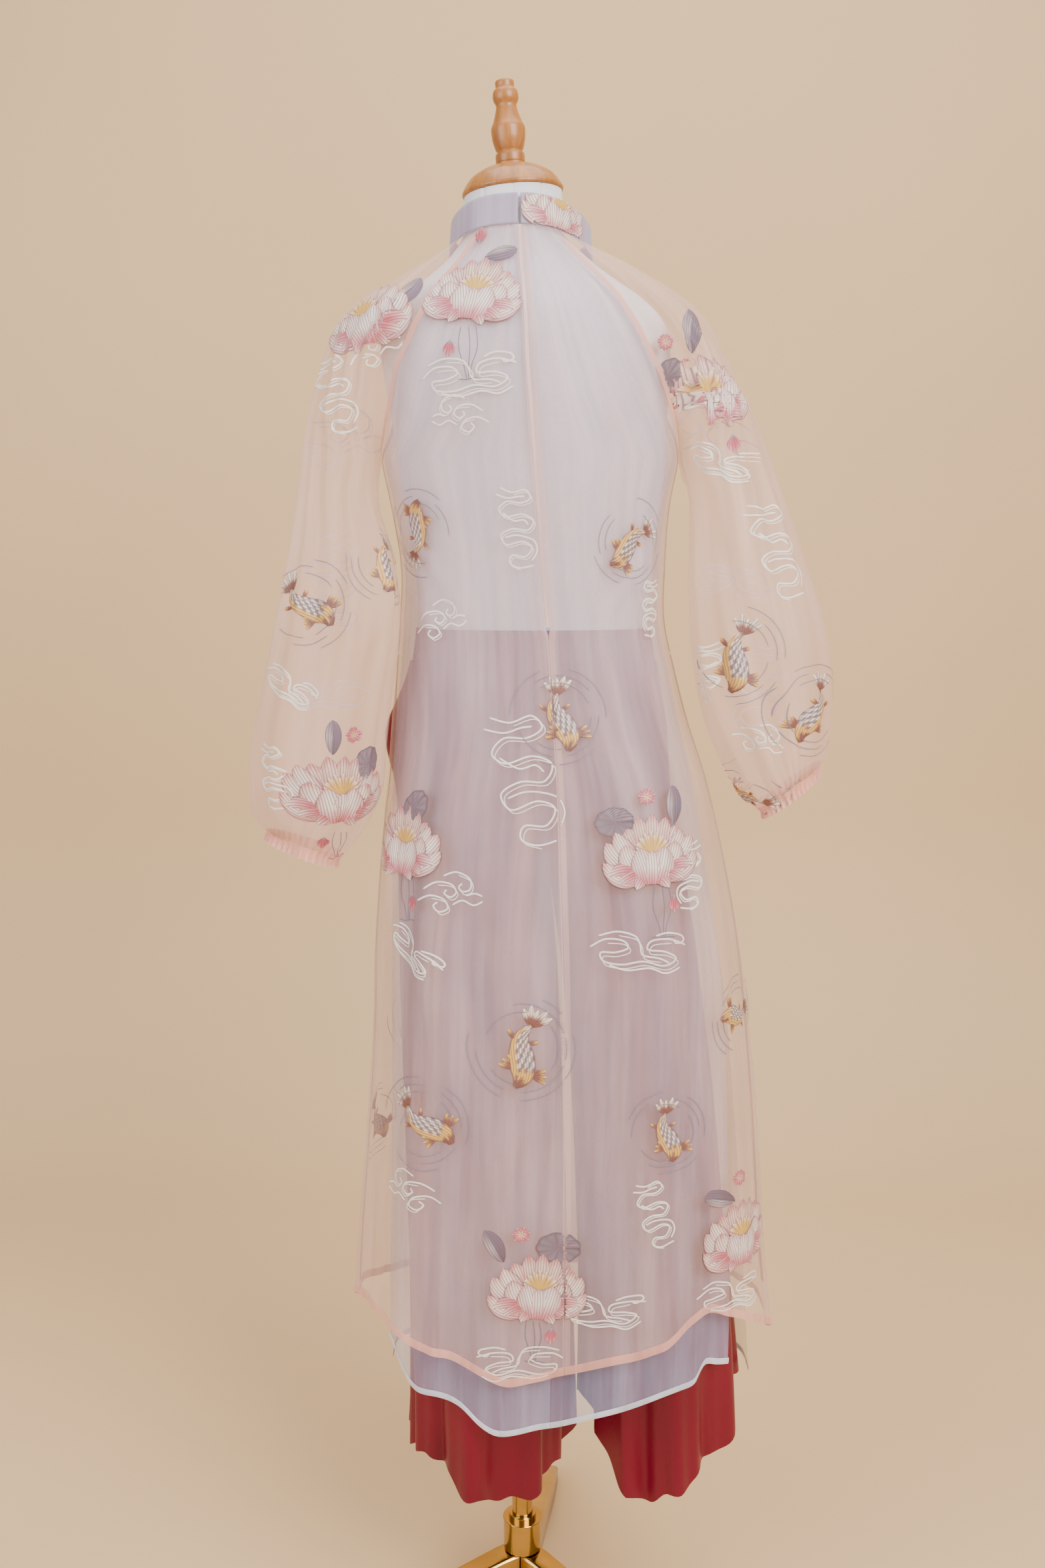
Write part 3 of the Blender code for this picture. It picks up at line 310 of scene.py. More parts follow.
# A crease along a sleeve: how far down it and round it in degrees, from its inner seam
SleeveCrease = namedtuple("SleeveCrease", "turn_a down_a turn_b down_b width depth")
LEFT_SLEEVE_CREASES = table(SleeveCrease, (
    (40, 0.10, 62, 0.52, 9, 0.0050), (70, 0.16, 92, 0.62, 10, 0.0055), (104, 0.22, 84, 0.86, 10, 0.0060),
    (128, 0.34, 118, 0.94, 9, 0.0050), (30, 0.44, 48, 0.95, 9, 0.0055), (62, 0.60, 70, 0.97, 8, 0.0050),
    (150, 0.20, 160, 0.70, 10, 0.0040), (200, 0.25, 190, 0.90, 11, 0.0050),
    (236, 0.18, 250, 0.80, 11, 0.0055), (280, 0.26, 268, 0.92, 11, 0.0060),
    (316, 0.30, 306, 0.90, 10, 0.0050), (338, 0.40, 332, 0.95, 9, 0.0045), (20, 0.28, 84, 0.40, 8, 0.0030),
    (12, 0.52, 66, 0.66, 8, 0.0030),
))
RIGHT_SLEEVE_CREASES = table(SleeveCrease, (
    (46, 0.12, 70, 0.56, 9, 0.0050), (88, 0.16, 78, 0.66, 10, 0.0055), (112, 0.24, 96, 0.90, 10, 0.0055),
    (140, 0.34, 122, 0.94, 9, 0.0045), (26, 0.50, 46, 0.96, 9, 0.0055), (58, 0.62, 74, 0.97, 8, 0.0050),
    (160, 0.30, 152, 0.86, 10, 0.0045), (205, 0.25, 192, 0.90, 11, 0.0050),
    (240, 0.20, 252, 0.80, 11, 0.0055), (284, 0.26, 270, 0.92, 11, 0.0060),
    (320, 0.30, 308, 0.90, 10, 0.0050), (10, 0.34, 60, 0.44, 8, 0.0030), (340, 0.34, 300, 0.46, 8, 0.0030),
))


# ---- Settings ----


def colour_setting(name, description, red, green, blue):
    default = srgb(red, green, blue)
    return FloatVectorProperty(
        name=name, description=description, subtype="COLOR", default=default, min=0, max=1,
    )


def cover_setting(name, cloth, default):
    description = f"How much of what is behind the {cloth} it hides"
    return FloatProperty(name=name, description=description, default=default, min=0, max=1, subtype="FACTOR")


class ClothSettings(bpy.types.PropertyGroup):
    """Colours and sheerness of the cloths."""

    organza: colour_setting("Organza", "Colour of the outer layer", 255, 202, 192)
    organza_cover: cover_setting("Organza cover", "organza", 0.30)
    hem: colour_setting("Hem band", "Colour of the outer layer's turned hems", 250, 176, 160)
    lining: colour_setting("Lining", "Colour of the slip", 202, 210, 255)
    lining_cover: cover_setting("Lining cover", "slip", 0.33)
    satin: colour_setting("Satin", "Colour of the trousers", 112, 0, 34)
    step: FloatProperty(
        name="Mesh step", description="Distance between rows of cloth mesh", unit="LENGTH",
        default=0.0075, min=0.003, max=0.03,
    )


class StandSettings(bpy.types.PropertyGroup):
    """Colours and turning of the form and its stand."""

    form_cloth: colour_setting("Form cloth", "Colour of the form's cover", 240, 240, 246)
    wood: colour_setting("Wood", "Colour of the cap and finial", 178, 114, 50)
    brass: colour_setting("Brass", "Colour of the pole, hub and legs", 190, 154, 84)
    steps: IntProperty(
        name="Turning steps", description="Faces round a turned piece", default=64, min=12, max=128,
    )


class ThreadSettings(bpy.types.PropertyGroup):
    """Colours of the embroidery threads."""

    white: colour_setting("White", "Petals and clouds", 244, 236, 228)
    pink: colour_setting("Pink", "Petal roots and buds", 204, 76, 102)
    yellow: colour_setting("Yellow", "Flower centres and fish heads", 224, 176, 66)
    grey: colour_setting("Grey", "Leaves and scales", 104, 92, 116)
    brown: colour_setting("Brown", "Fins and outlines", 112, 52, 28)


class StageSettings(bpy.types.PropertyGroup):
    """The room round the garment."""

    wall: colour_setting("Wall", "Colour of the backdrop and floor", 222, 190, 146)
    lamp_power: FloatProperty(
        name="Lamp power", description="Power of the main lamp in watts", default=138, min=0, max=1000,
    )


# ---- Curves and surfaces ----


def between(rows, key):
    """The row of a table at any key, on a smooth curve through its rows. The first field is the key."""
    keys = [row[0] for row in rows]
    i = min(max(bisect_right(keys, key) - 1, 0), len(rows) - 2)
    span = keys[i + 1] - keys[i]
    t = min(max((key - keys[i]) / span, 0), 1)

    def slope(k, column):
        low, high = max(k - 1, 0), min(k + 1, len(rows) - 1)
        return (rows[high][column] - rows[low][column]) / (keys[high] - keys[low]) * span

    def value(column):
        start, end = rows[i][column], rows[i + 1][column]
        leave, arrive = slope(i, column), slope(i + 1, column)
        bend = (3 - 2 * t) * t * t
        return start + (end - start) * bend + leave * t * (1 - t) ** 2 - arrive * t * t * (1 - t)

    return type(rows[0])(*(value(column) for column in range(len(rows[0]))))


def outer_section(z):
    return between(OUTER, z)


def slip_section(z):
    """The slip follows the outer layer from just under it above the waist, and its own sizes below."""
    if z <= SLIP_SKIRT[-1].z:
        return between(SLIP_SKIRT, z)
    outer = between(OUTER, z)
    joins = between(OUTER, SLIP_SKIRT[-1].z)
    fade = max(0, 1 - (z - SLIP_SKIRT[-1].z) / (UNDERARM_Z - SLIP_SKIRT[-1].z))
    low = SLIP_SKIRT[-1]
    return Section(
        z,
        outer.left + SLIP_DEPTH + fade * (low.left - joins.left - SLIP_DEPTH),
        outer.mid + fade * (low.mid - joins.mid),
        outer.right - SLIP_DEPTH + fade * (low.right - joins.right + SLIP_DEPTH),
        outer.back - SLIP_DEPTH + fade * (low.back - joins.back + SLIP_DEPTH),
        outer.front - SLIP_DEPTH + fade * (low.front - joins.front + SLIP_DEPTH),
        2.0,
    )


def form_section(z):
    return between(FORM, z)


TABLE_STEP = 0.001


class Body:
    """The surface of a layer round the body, read from its sections at any angle and height."""

    def __init__(self, section_at, low, high):
        self.levels = np.arange(low, high + TABLE_STEP, TABLE_STEP)
        self.sizes = np.array([section_at(z)[1:] for z in self.levels])

    def points(self, turns, heights):
        left, mid, right, back, front, power = (
            np.interp(heights, self.levels, self.sizes[:, column]) for column in range(6)
        )
        across, along = np.sin(turns), np.cos(turns)
        side = np.where(across > 0, right - mid, mid - left)
        depth = np.where(along > 0, back, front)
        x = mid + side * np.sign(across) * np.abs(across) ** (2 / power)
        y = -depth * np.sign(along) * np.abs(along) ** (2 / power)
        return np.stack([x, y, heights], -1)


OUTER_BODY = Body(outer_section, 0.34, 1.62)
SLIP_BODY = Body(slip_section, 0.30, 1.62)
FORM_BODY = Body(form_section, 0.95, 1.645)


def outward(turns):
    return np.stack([np.sin(turns), -np.cos(turns), np.zeros_like(turns)], -1)


def fold_rise(folds, heights, turns):
    degrees = np.degrees(turns)
    rise = np.zeros_like(degrees)
    for fold in folds:
        down = np.clip((fold.top - heights) / (fold.top - HEM_ROW_TOP), 0, 1)
        middle = fold.upper + (fold.lower - fold.upper) * down
        away = (degrees - middle) / fold.width
        rise += fold.depth * down**FOLD_GROWTH * np.exp(-away * away)
    return rise


def crease_rise(creases, turns, heights, degree):
    """Soft ridges along lines of a layer. `degree` is the width of a degree in the units of height."""
    x = np.degrees(turns) * degree
    rise = np.zeros_like(x)
    for crease in creases:
        start = np.array([crease[0] * degree, crease[1]])
        end = np.array([crease[2] * degree, crease[3]])
        line = end - start
        length = np.hypot(*line)
        along = ((x - start[0]) * line[0] + (heights - start[1]) * line[1]) / length**2
        off = ((x - start[0]) * line[1] - (heights - start[1]) * line[0]) / length
        fade = np.sin(pi * np.clip(along * 0.9 + 0.05, 0, 1)) ** CREASE_FADE
        rise += crease.depth * fade * np.exp(-((off / crease.width) ** 2))
    return rise


def turn_at(section, side, offset):
    """The angle from the centre back at which a section lies this far from its centre seam."""
    half = section.right - section.mid if side > 0 else section.mid - section.left
    return asin(min(offset / half, 1) ** (section.power / 2))


def neckline_heights(level, turns):
    """Above the shoulder blades the rows tilt, so that the last one is the neckline."""
    lift = min(max((level - LEVEL_ROWS_END) / (NECKLINE_LEVEL - LEVEL_ROWS_END), 0), 1)
    drop = NECKLINE_DROP * ((1 - np.cos(turns)) / 2) ** 1.5
    return level + lift * (NAPE_Z - NECKLINE_LEVEL - drop)


def raglan_turn(row, side, front):
    turn = turn_at(outer_section(row.level), side, row.reach)
    return side * (pi - turn if front else turn)


def side_turn(level, side, front, wrap=0.0):
    """Edge angle of a panel at its side: the side seam, or the raglan seam above the underarm."""
    if level <= UNDERARM_Z:
        half_gap = SIDE_GAP / outer_section(level).back
        turn = RIGHT_ANGLE + (half_gap if front else -half_gap)
        if level < SLIT_TOP:
            turn -= min((SLIT_TOP - level) / (SLIT_TOP - HEM_ROW_TOP), 1) * wrap
            down = min((SLIT_TOP - level) / SLIT_GAPE_HEIGHT, 1)
            if side < 0:
                turn += (1 if front else -1) * SLIT_GAPE * sin(pi * down) ** 2
        return side * turn
    ends = [(UNDERARM_Z, side * RIGHT_ANGLE)]
    ends += [(row.level, raglan_turn(row, side, front)) for row in reversed(RAGLAN)]
    return float(np.interp(level, [e[0] for e in ends], [e[1] for e in ends]))


def centre_turn(section_at, level, side, zipped):
    half = (ZIP_WIDTH / 2 + SEAM) if zipped and level > WAIST_Z else SEAM / 2
    return side * turn_at(section_at(float(neckline_heights(level, 0.0))), side, half)


Panel = namedtuple("Panel", "body section_at folds share hem edges shares creases")


def panel_edges(section_at, zipped, side, wrap=0.0):
    """The edge angles of a back half, or with no side of a whole front, at a level."""

    def edges(level):
        if side == 0:
            return side_turn(level, 1, True), FULL_TURN + side_turn(level, -1, True)
        centre = centre_turn(section_at, level, side, zipped)
        edge = side_turn(level, side, False, wrap)
        return (edge, centre) if side < 0 else (centre, edge)

    return edges


def panel_surface(panel, turns, heights, lift=0.0):
    """Points of a panel's cloth with its folds and creases, lifted off it by `lift`."""
    points = panel.body.points(turns, heights)
    rise = panel.share * fold_rise(panel.folds, heights, turns)
    rise = rise + crease_rise(panel.creases, turns, heights, METRES_A_DEGREE)
    return points + outward(turns) * (rise + lift)[..., None]


def hem_heights(panel, share):
    start, end = panel.shares
    return np.array([between(panel.hem, start + (end - start) * s).z for s in share])


def panel_levels(step):
    body = np.arange(SKIRT_START, UNDERARM_Z - step / 2, step)
    raglan = np.linspace(UNDERARM_Z, NECKLINE_LEVEL, int((NECKLINE_LEVEL - UNDERARM_Z) / step) + 1)
    return list(body) + list(raglan)


def panel_grid(panel, columns, step, hem_rows=16):
    """Rows of points of a panel, from its hem to the neckline."""
    share = np.linspace(0, 1, columns)
    hem = hem_heights(panel, share)
    rows = []
    for i in range(hem_rows):
        t = i / hem_rows
        first, last = panel.edges(HEM_ROW_TOP + (SKIRT_START - HEM_ROW_TOP) * t)
        turns = first + (last - first) * share
        rows.append(panel_surface(panel, turns, hem + (SKIRT_START - hem) * t))
    for level in panel_levels(step):
        first, last = panel.edges(level)
        turns = first + (last - first) * share
        rows.append(panel_surface(panel, turns, neckline_heights(level, turns)))
    return np.array(rows)


OUTER_CREASES = BODICE_CREASES + SKIRT_CREASES


def outer_panel(side):
    folds = FRONT_FOLDS + SMALL_FRONT_FOLDS if side == 0 else BACK_FOLDS + SMALL_BACK_FOLDS
    hem = FRONT_HEM if side == 0 else BACK_HEM
    shares = {-1: (0, 0.5), 0: (0, 1), 1: (0.5, 1)}[side]
    creases = FRONT_CREASES if side == 0 else OUTER_CREASES
    edges = panel_edges(outer_section, True, side)
    return Panel(OUTER_BODY, outer_section, folds, 1, hem, edges, shares, creases)


def slip_panel(side):
    folds = FRONT_FOLDS if side == 0 else BACK_FOLDS
    hem = SLIP_FRONT_HEM if side == 0 else SLIP_BACK_HEM
    shares = {-1: (0, 0.5), 0: (0, 1), 1: (0.5, 1)}[side]
    wrap = SLIP_BACK_WRAP if side > 0 else 0.0
    edges = panel_edges(slip_section, False, side, wrap)
    return Panel(SLIP_BODY, slip_section, folds, SLIP_FOLD_SHARE, hem, edges, shares, ())


def tube_row(back_edge, front_edge, outer, depth, turns):
    """Points round a tube from its back edge, over its outer side, to its front edge, and its middle."""
    middle = (back_edge + front_edge) / 2
    half = (back_edge - front_edge) / 2
    depth = max(depth, half.length)
    opening = asin(half.length / depth)
    reach = (outer - middle) / (1 + cos(opening))
    centre = outer - reach
    across = half.normalized() * depth
    angles = opening + (FULL_TURN - 2 * opening) * turns
    row = (
        np.array(centre)
        + np.outer(np.sin(angles), np.array(across))
        - np.outer(np.cos(angles), np.array(reach))
    )
    return row, np.array(centre)


def smooth_rows(rows, per_span):
    """More rows on smooth curves through the given ones. `per_span` says how many fall in each span."""
    rows = np.asarray(rows)
    found = []
    last = len(rows) - 1
    for i in range(last):
        before, start = rows[max(i - 1, 0)], rows[i]
        end, after = rows[i + 1], rows[min(i + 2, last)]
        for k in range(per_span[i]):
            t = k / per_span[i]
            leave, arrive = (end - before) / 2, (after - start) / 2
            bend = (3 - 2 * t) * t * t
            found.append(start + (end - start) * bend + leave * t * (1 - t) ** 2 - arrive * t * t * (1 - t))
    found.append(rows[last])
    return np.array(found)


def sleeve_grid(side, yoke, tube, creases, columns, step):
    """Rows of points of a sleeve, from the neckline to its frill."""
    share = np.linspace(0, 1, columns)
    gap = side * 2 * SEAM / outer_section(NECKLINE_LEVEL).back
    first = raglan_turn(RAGLAN[0], side, False) + gap
    last = raglan_turn(RAGLAN[0], side, True) - gap
    turns = first + (last - first) * share
    neck = OUTER_BODY.points(turns, neckline_heights(NECKLINE_LEVEL, turns))
    rows, centres = [neck], [neck.mean(0)]
    seams = RAGLAN[1:] + (Raglan(UNDERARM_Z, None),)
    for ring, seam in zip(yoke, seams):
        outer = Vector((ring.x, 0, ring.z))
        if seam.reach:
            nudge = side * 2 * SEAM / outer_section(seam.level).back
            ends = []
            for front in (False, True):
                turn = np.array([raglan_turn(seam, side, front) + (-nudge if front else nudge)])
                ends.append(Vector(OUTER_BODY.points(turn, neckline_heights(seam.level, turn))[0]))
            back, front = ends
        else:
            section = outer_section(UNDERARM_Z)
            x = (section.right if side > 0 else section.left) + side * 2 * SEAM
            back = Vector((x, -SEAM, UNDERARM_Z))
            front = Vector((x, SEAM, UNDERARM_Z))
        row, centre = tube_row(back, front, outer, ring.depth, share)
        rows.append(row)
        centres.append(centre)
    for ring in tube:
        inner = Vector((ring.inner_x, -ring.back, ring.inner_z))
        outer = Vector((ring.outer_x, -ring.back, ring.outer_z))
        nudge = Vector((0, -SEAM, 0))
        row, centre = tube_row(inner + nudge, inner - nudge, outer, ring.depth, share)
        rows.append(row)
        centres.append(centre)
    spans = [np.linalg.norm(rows[i + 1] - rows[i], axis=1).max() for i in range(len(rows) - 1)]
    per_span = [max(2, int(span / step)) for span in spans]
    rows = smooth_rows(rows, per_span)
    centres = smooth_rows(centres, per_span)
    length = len(rows) - 1
    down = np.arange(length + 1)[:, None] / length * np.ones((1, columns))
    around = (share * 360)[None, :] * np.ones((length + 1, 1))
    rise = sleeve_rise(creases, around, down, per_span, length)
    out = rows - centres[:, None, :]
    out /= np.linalg.norm(out, axis=2, keepdims=True)
    edge = np.clip(np.minimum(share, 1 - share) / 0.04, 0, 1)[None, :]
    edge = np.where(down < 0.45, edge, 1)
    grid = rows + out * (rise * edge)[..., None]
    return grid[:, ::-1] if side > 0 else grid


CUFF_PLEATS = 34
CUFF_FADE = 0.085


def sleeve_rise(creases, around, down, per_span, length):
    """Height of a sleeve's folds, with the gathers that run up from its elastic."""
    rise = np.zeros_like(around)
    for crease in creases:
        line = np.array([crease.turn_b - crease.turn_a, (crease.down_b - crease.down_a) * 360])
        size = np.hypot(*line)
        x = around - crease.turn_a
        y = (down - crease.down_a) * 360
        along = (x * line[0] + y * line[1]) / size**2
        off = (x * line[1] - y * line[0]) / size
        fade = np.sin(pi * np.clip(along * 0.9 + 0.05, 0, 1)) ** CREASE_FADE
        rise += 1.5 * crease.depth * fade * np.exp(-((off / crease.width) ** 2))
    rise -= 0.0038 * np.clip((down - 0.1) * 5, 0, 1)
    elastic = 1 - per_span[-1] / length
    wander = np.sin(np.radians(around) * 3 + 0.7) * 1.1 + np.sin(np.radians(around) * 7) * 0.5
    pleat = np.cos(np.radians(around) * CUFF_PLEATS + wander)
    near = np.exp(-np.clip(elastic - down, 0, 1) / CUFF_FADE)
    rise += pleat * near * (0.5 * CUFF_GATHER + 0.5 * CUFF_FRILL * (down > elastic))
    return rise * np.clip(down / 0.08, 0, 1)


LEG_FOLDS = 7
LEG_FOLD_TOP = 0.86
DRAPE_TOP = 0.50
SLIT_SWELL_SHARE = 0.53
SLIT_SWELL_Z = 1.075


def leg_grid(side, levels, hem, columns, step):
    """Rows of points of a trouser leg, from its waist to its hem."""
    share = np.linspace(0, 1, columns)
    rows, centres = [], []
    for level in levels:
        middle_y = (level.front - level.back) / 2
        depth = (level.front + level.back) / 2
        back = Vector((level.inner, -level.edge_back, level.z))
        front = Vector((level.inner, level.edge_front, level.z))
        if level.edge_back < 0.001:
            back.y += middle_y
            front.y += middle_y
        row, centre = tube_row(back, front, Vector((level.outer, middle_y, level.z)), depth, share)
        rows.append(row)
        centres.append(centre)
    hem_z = np.array([between(hem, s).z for s in share])
    rows[-1][:, 2] = hem_z
    per_span = [max(2, int((levels[i].z - levels[i + 1].z) / step)) for i in range(len(levels) - 1)]
    rows = smooth_rows(rows, per_span)
    centres = smooth_rows(centres, per_span)
    deep = np.clip((LEG_FOLD_TOP - rows[..., 2]) / 0.6, 0, 1)
    turn = share[None, :] * FULL_TURN
    lean = rows[..., 2] * 2.0
    folds = (
        np.cos(LEG_FOLDS * turn + lean * side + 0.6) * 0.0055
        + np.cos(3 * turn - lean + 1.1) * 0.0035
        + np.abs(np.sin(5.5 * turn + lean * 1.4)) ** 0.6 * -0.005
    )
    out = rows - centres[:, None, :]
    out[..., 2] = 0
    out /= np.linalg.norm(out, axis=2, keepdims=True)
    low = np.clip((DRAPE_TOP - rows[..., 2]) / 0.25, 0, 1)
    drapes = (
        np.cos(11 * turn + 2.2 * np.sin(2 * turn)) * 0.006
        + np.cos(19 * turn + 1.6 * np.sin(3 * turn + side)) * 0.0028
    ) * low
    swell = np.exp(-(((share - SLIT_SWELL_SHARE) / 0.06) ** 2))[None, :]
    swell = swell * np.exp(-(((rows[..., 2] - SLIT_SWELL_Z) / 0.045) ** 2))
    rise = deep * (folds - 0.002) + drapes + (swell * SLIT_SWELL if side < 0 else 0)
    grid = rows + out * rise[..., None]
    grid[..., 2] += low * (
        0.0035 * np.cos(9 * turn + 1.5 * np.sin(3 * turn)) + 0.0050 * np.cos(5 * turn + 2 + side)
        + 0.0025 * np.cos(16 * turn + side)
    )
    return grid[:, ::-1] if side > 0 else grid


# ---- Meshes ----


def new_object(name, bm, material, smooth=True):
    mesh = bpy.data.meshes.new(name)
    bm.to_mesh(mesh)
    bm.free()
    if smooth:
        mesh.shade_smooth()
    obj = bpy.data.objects.new(name, mesh)
    bpy.context.scene.collection.objects.link(obj)
    mesh.materials.append(material)
    return obj


def finished(obj, slot, *nodes):
    """Puts a piece on the body, and hides the solids that it stands for."""
    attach(obj, "root")
    if nodes:
        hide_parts(*nodes)
    return obj


def grid_bmesh(grid, flip=False):
    """A bmesh grid of quads over an array of points, with a UV map in metres along its rows."""
    rows, columns = grid.shape[:2]
    bm = bmesh.new()
    layer = bm.loops.layers.uv.new("UVMap")
    bmesh.ops.create_grid(bm, x_segments=columns - 1, y_segments=rows - 1, size=1)
    bm.verts.ensure_lookup_table()
    for vert, point in zip(bm.verts, grid.reshape(-1, 3)):
        vert.co = Vector(point) + AXIS
    across = np.linalg.norm(np.diff(grid, axis=1), axis=2).mean(0).cumsum()
    along = np.linalg.norm(np.diff(grid, axis=0), axis=2).mean(1).cumsum()
    across = np.concatenate([[0], across])
    along = np.concatenate([[0], along])
    bm.verts.index_update()
    for face in bm.faces:
        for loop in face.loops:
            row, column = divmod(loop.vert.index, columns)
            loop[layer].uv = (across[column], along[row])
    if flip:
        bmesh.ops.reverse_faces(bm, faces=bm.faces)
    return bm


def turned_bmesh(outline, steps, foot=0.0):
    """A solid turned about Z from (radius, height) pairs."""
    bm = bmesh.new()
    verts = [bm.verts.new((radius, 0, foot + height)) for radius, height in outline]
    top = bm.verts.new((0, 0, foot + outline[-1][1]))
    bottom = bm.verts.new((0, 0, foot + outline[0][1]))
    chain = [bottom] + verts + [top]
    edges = [bm.edges.new(pair) for pair in zip(chain, chain[1:])]
    bmesh.ops.spin(
        bm, geom=chain + edges, cent=(0, 0, 0), axis=(0, 0, 1), angle=FULL_TURN, steps=steps,
        use_merge=True,
    )
    bmesh.ops.remove_doubles(bm, verts=bm.verts, dist=1e-6)
    bmesh.ops.recalc_face_normals(bm, faces=bm.faces)
    return bm


def rounded(points, per_span=6):
    """A smooth curve through (radius, height) points."""
    return [tuple(p) for p in smooth_rows(np.array(points), [per_span] * (len(points) - 1))]


# ---- Materials ----


class Shader:
    """A material's node tree, with short ways to add and join its nodes."""

    def __init__(self, name):
        self.material = bpy.data.materials.new(name)
        self.material.use_nodes = True
        self.tree = self.material.node_tree
        self.base = self.tree.nodes["Principled BSDF"]

    def node(self, kind, inputs=None, **settings):
        made = self.tree.nodes.new(kind)
        for key, value in settings.items():
            setattr(made, key, value)
        for key, value in (inputs or {}).items():
            if isinstance(value, bpy.types.NodeSocket):
                self.tree.links.new(value, made.inputs[key])
            else:
                made.inputs[key].default_value = value
        return made

    def coordinates(self, kind="Object", scale=(1, 1, 1), turn=(0, 0, 0)):
        source = self.node("ShaderNodeTexCoord").outputs[kind]
        return self.node("ShaderNodeMapping", {"Vector": source, "Scale": scale, "Rotation": turn}).outputs[0]

    def noise(self, vector, scale, detail=3.0, roughness=0.5, distortion=0.0):
        return self.node(
            "ShaderNodeTexNoise",
            {
                "Vector": vector, "Scale": scale, "Detail": detail, "Roughness": roughness,
                "Distortion": distortion,
            },
        ).outputs["Fac"]

    def wave(self, vector, scale, distortion=0.0, direction="X"):
        return self.node(
            "ShaderNodeTexWave",
            {"Vector": vector, "Scale": scale, "Distortion": distortion},
            bands_direction=direction,
        ).outputs["Fac"]

    def ramp(self, fac, stops):
        made = self.node("ShaderNodeValToRGB", {"Fac": fac})
        elements = made.color_ramp.elements
        while len(elements) < len(stops):
            elements.new(0.5)
        for element, (place, colour) in zip(elements, stops):
            element.position = place
            element.color = (*colour, 1)
        return made.outputs["Color"]

    def fit(self, value, low, high):
        return self.node("ShaderNodeMapRange", {"Value": value, "To Min": low, "To Max": high}).outputs[0]

    def math(self, operation, a, b):
        return self.node("ShaderNodeMath", {0: a, 1: b}, operation=operation).outputs[0]

    def mix(self, fac, a, b, blend="MIX"):
        made = self.node("ShaderNodeMix", data_type="RGBA", blend_type=blend)
        for index, value in ((0, fac), (6, a), (7, b)):
            if isinstance(value, bpy.types.NodeSocket):
                self.tree.links.new(value, made.inputs[index])
            else:
                made.inputs[index].default_value = value
        return made.outputs[2]

    def bump(self, height, strength, distance=0.001, under=None):
        inputs = {"Height": height, "Strength": strength, "Distance": distance}
        if under:
            inputs["Normal"] = under
        return self.node("ShaderNodeBump", inputs).outputs[0]

    def set(self, **values):
        for key, value in values.items():
            name = key.replace("_", " ").title().replace("Ior", "IOR")
            socket = self.base.inputs[name]
            if isinstance(value, bpy.types.NodeSocket):
                self.tree.links.new(value, socket)
            else:
                socket.default_value = value
        return self.material


def shades(colour, *factors):
    return [tuple(min(c * f, 1) for c in colour) for f in factors]


def sheer_cloth(name, colour, cover, gloss=0.45, mottling=7.0, weave=900.0):
    """A crisp sheer weave: mottled colour with painted fold shade and highlight in long streaks, the same
    streaks in its cover, a fine weave in the bump, and a soft sheen.
    """
    shader = Shader(name)
    uv = shader.coordinates("UV")
    cloud = shader.noise(uv, mottling, 3.0, 0.55)
    # Long soft streaks along the cloth, and finer ones: painted fold shade and highlight, not folds of the
    # mesh.
    painted_fold_streaks = shader.noise(shader.coordinates("UV", (26, 2.2, 1), (0, 0, 0.06)), 1.0, 3.0, 0.5, 0.6)
    fine = shader.noise(shader.coordinates("UV", (90, 5, 1), (0, 0, -0.05)), 1.0, 3.0, 0.5, 0.5)
    mottle_and_fold_shade = shader.math("ADD", shader.math("MULTIPLY", cloud, 0.2), shader.math("MULTIPLY", painted_fold_streaks, 0.5))
    mottle_and_fold_shade = shader.math("ADD", mottle_and_fold_shade, shader.math("MULTIPLY", fine, 0.3))
    # Painted fold shade and highlight: the colour goes darker and lighter with the streaks, and partly with a
    # random mottle.
    dark, light = shades(colour, 0.74, 1.12)
    tint = shader.ramp(mottle_and_fold_shade, [(0.38, dark), (0.62, light)])
    warp = shader.wave(uv, weave / 6.28, 0.6, "X")
    weft = shader.wave(uv, weave / 6.28, 0.6, "Y")
    threads = shader.bump(shader.math("ADD", warp, weft), 0.10, 0.0002)
    rumple = shader.bump(shader.noise(uv, 42.0, 4.0, 0.6), 0.22, 0.0012, threads)
    # The painted fold streaks also make the cover thicker and thinner.
    if cover < 0.6:
        cover = shader.fit(mottle_and_fold_shade, cover * 0.2, cover * 1.75)
    return shader.set(
        base_color=tint, roughness=gloss, alpha=cover, normal=rumple, sheen_weight=0.35,
        sheen_roughness=0.4, sheen_tint=(1.0, 0.96, 0.94, 1.0), specular_ior_level=0.4,
    )


def satin_cloth(name, colour):
    """Satin: deep colour with painted shade and sheen in broad random patches, darker and lighter, standing
    in for how it shifts with its folds, and long fine threads.
    """
    shader = Shader(name)
    uv = shader.coordinates("UV")
    streaks = shader.noise(shader.coordinates("UV", (220, 6, 1)), 3.0, 4.0, 0.6)
    cloud = shader.noise(uv, 5.0, 3.0, 0.5)
    # Painted shade and sheen: broad random patches darker and lighter than the satin's colour.
    dark, light = shades(colour, 0.72, 1.18)
    tint = shader.ramp(cloud, [(0.3, dark), (0.7, light)])
    threads = shader.bump(streaks, 0.12, 0.0003)
    rumple = shader.bump(shader.noise(uv, 24.0, 4.0, 0.55), 0.25, 0.002, threads)
    return shader.set(
        base_color=tint, roughness=shader.fit(streaks, 0.34, 0.50), normal=rumple, sheen_weight=0.05,
        sheen_roughness=0.35, sheen_tint=(1.0, 0.2, 0.3, 1.0), specular_ior_level=0.32,
    )


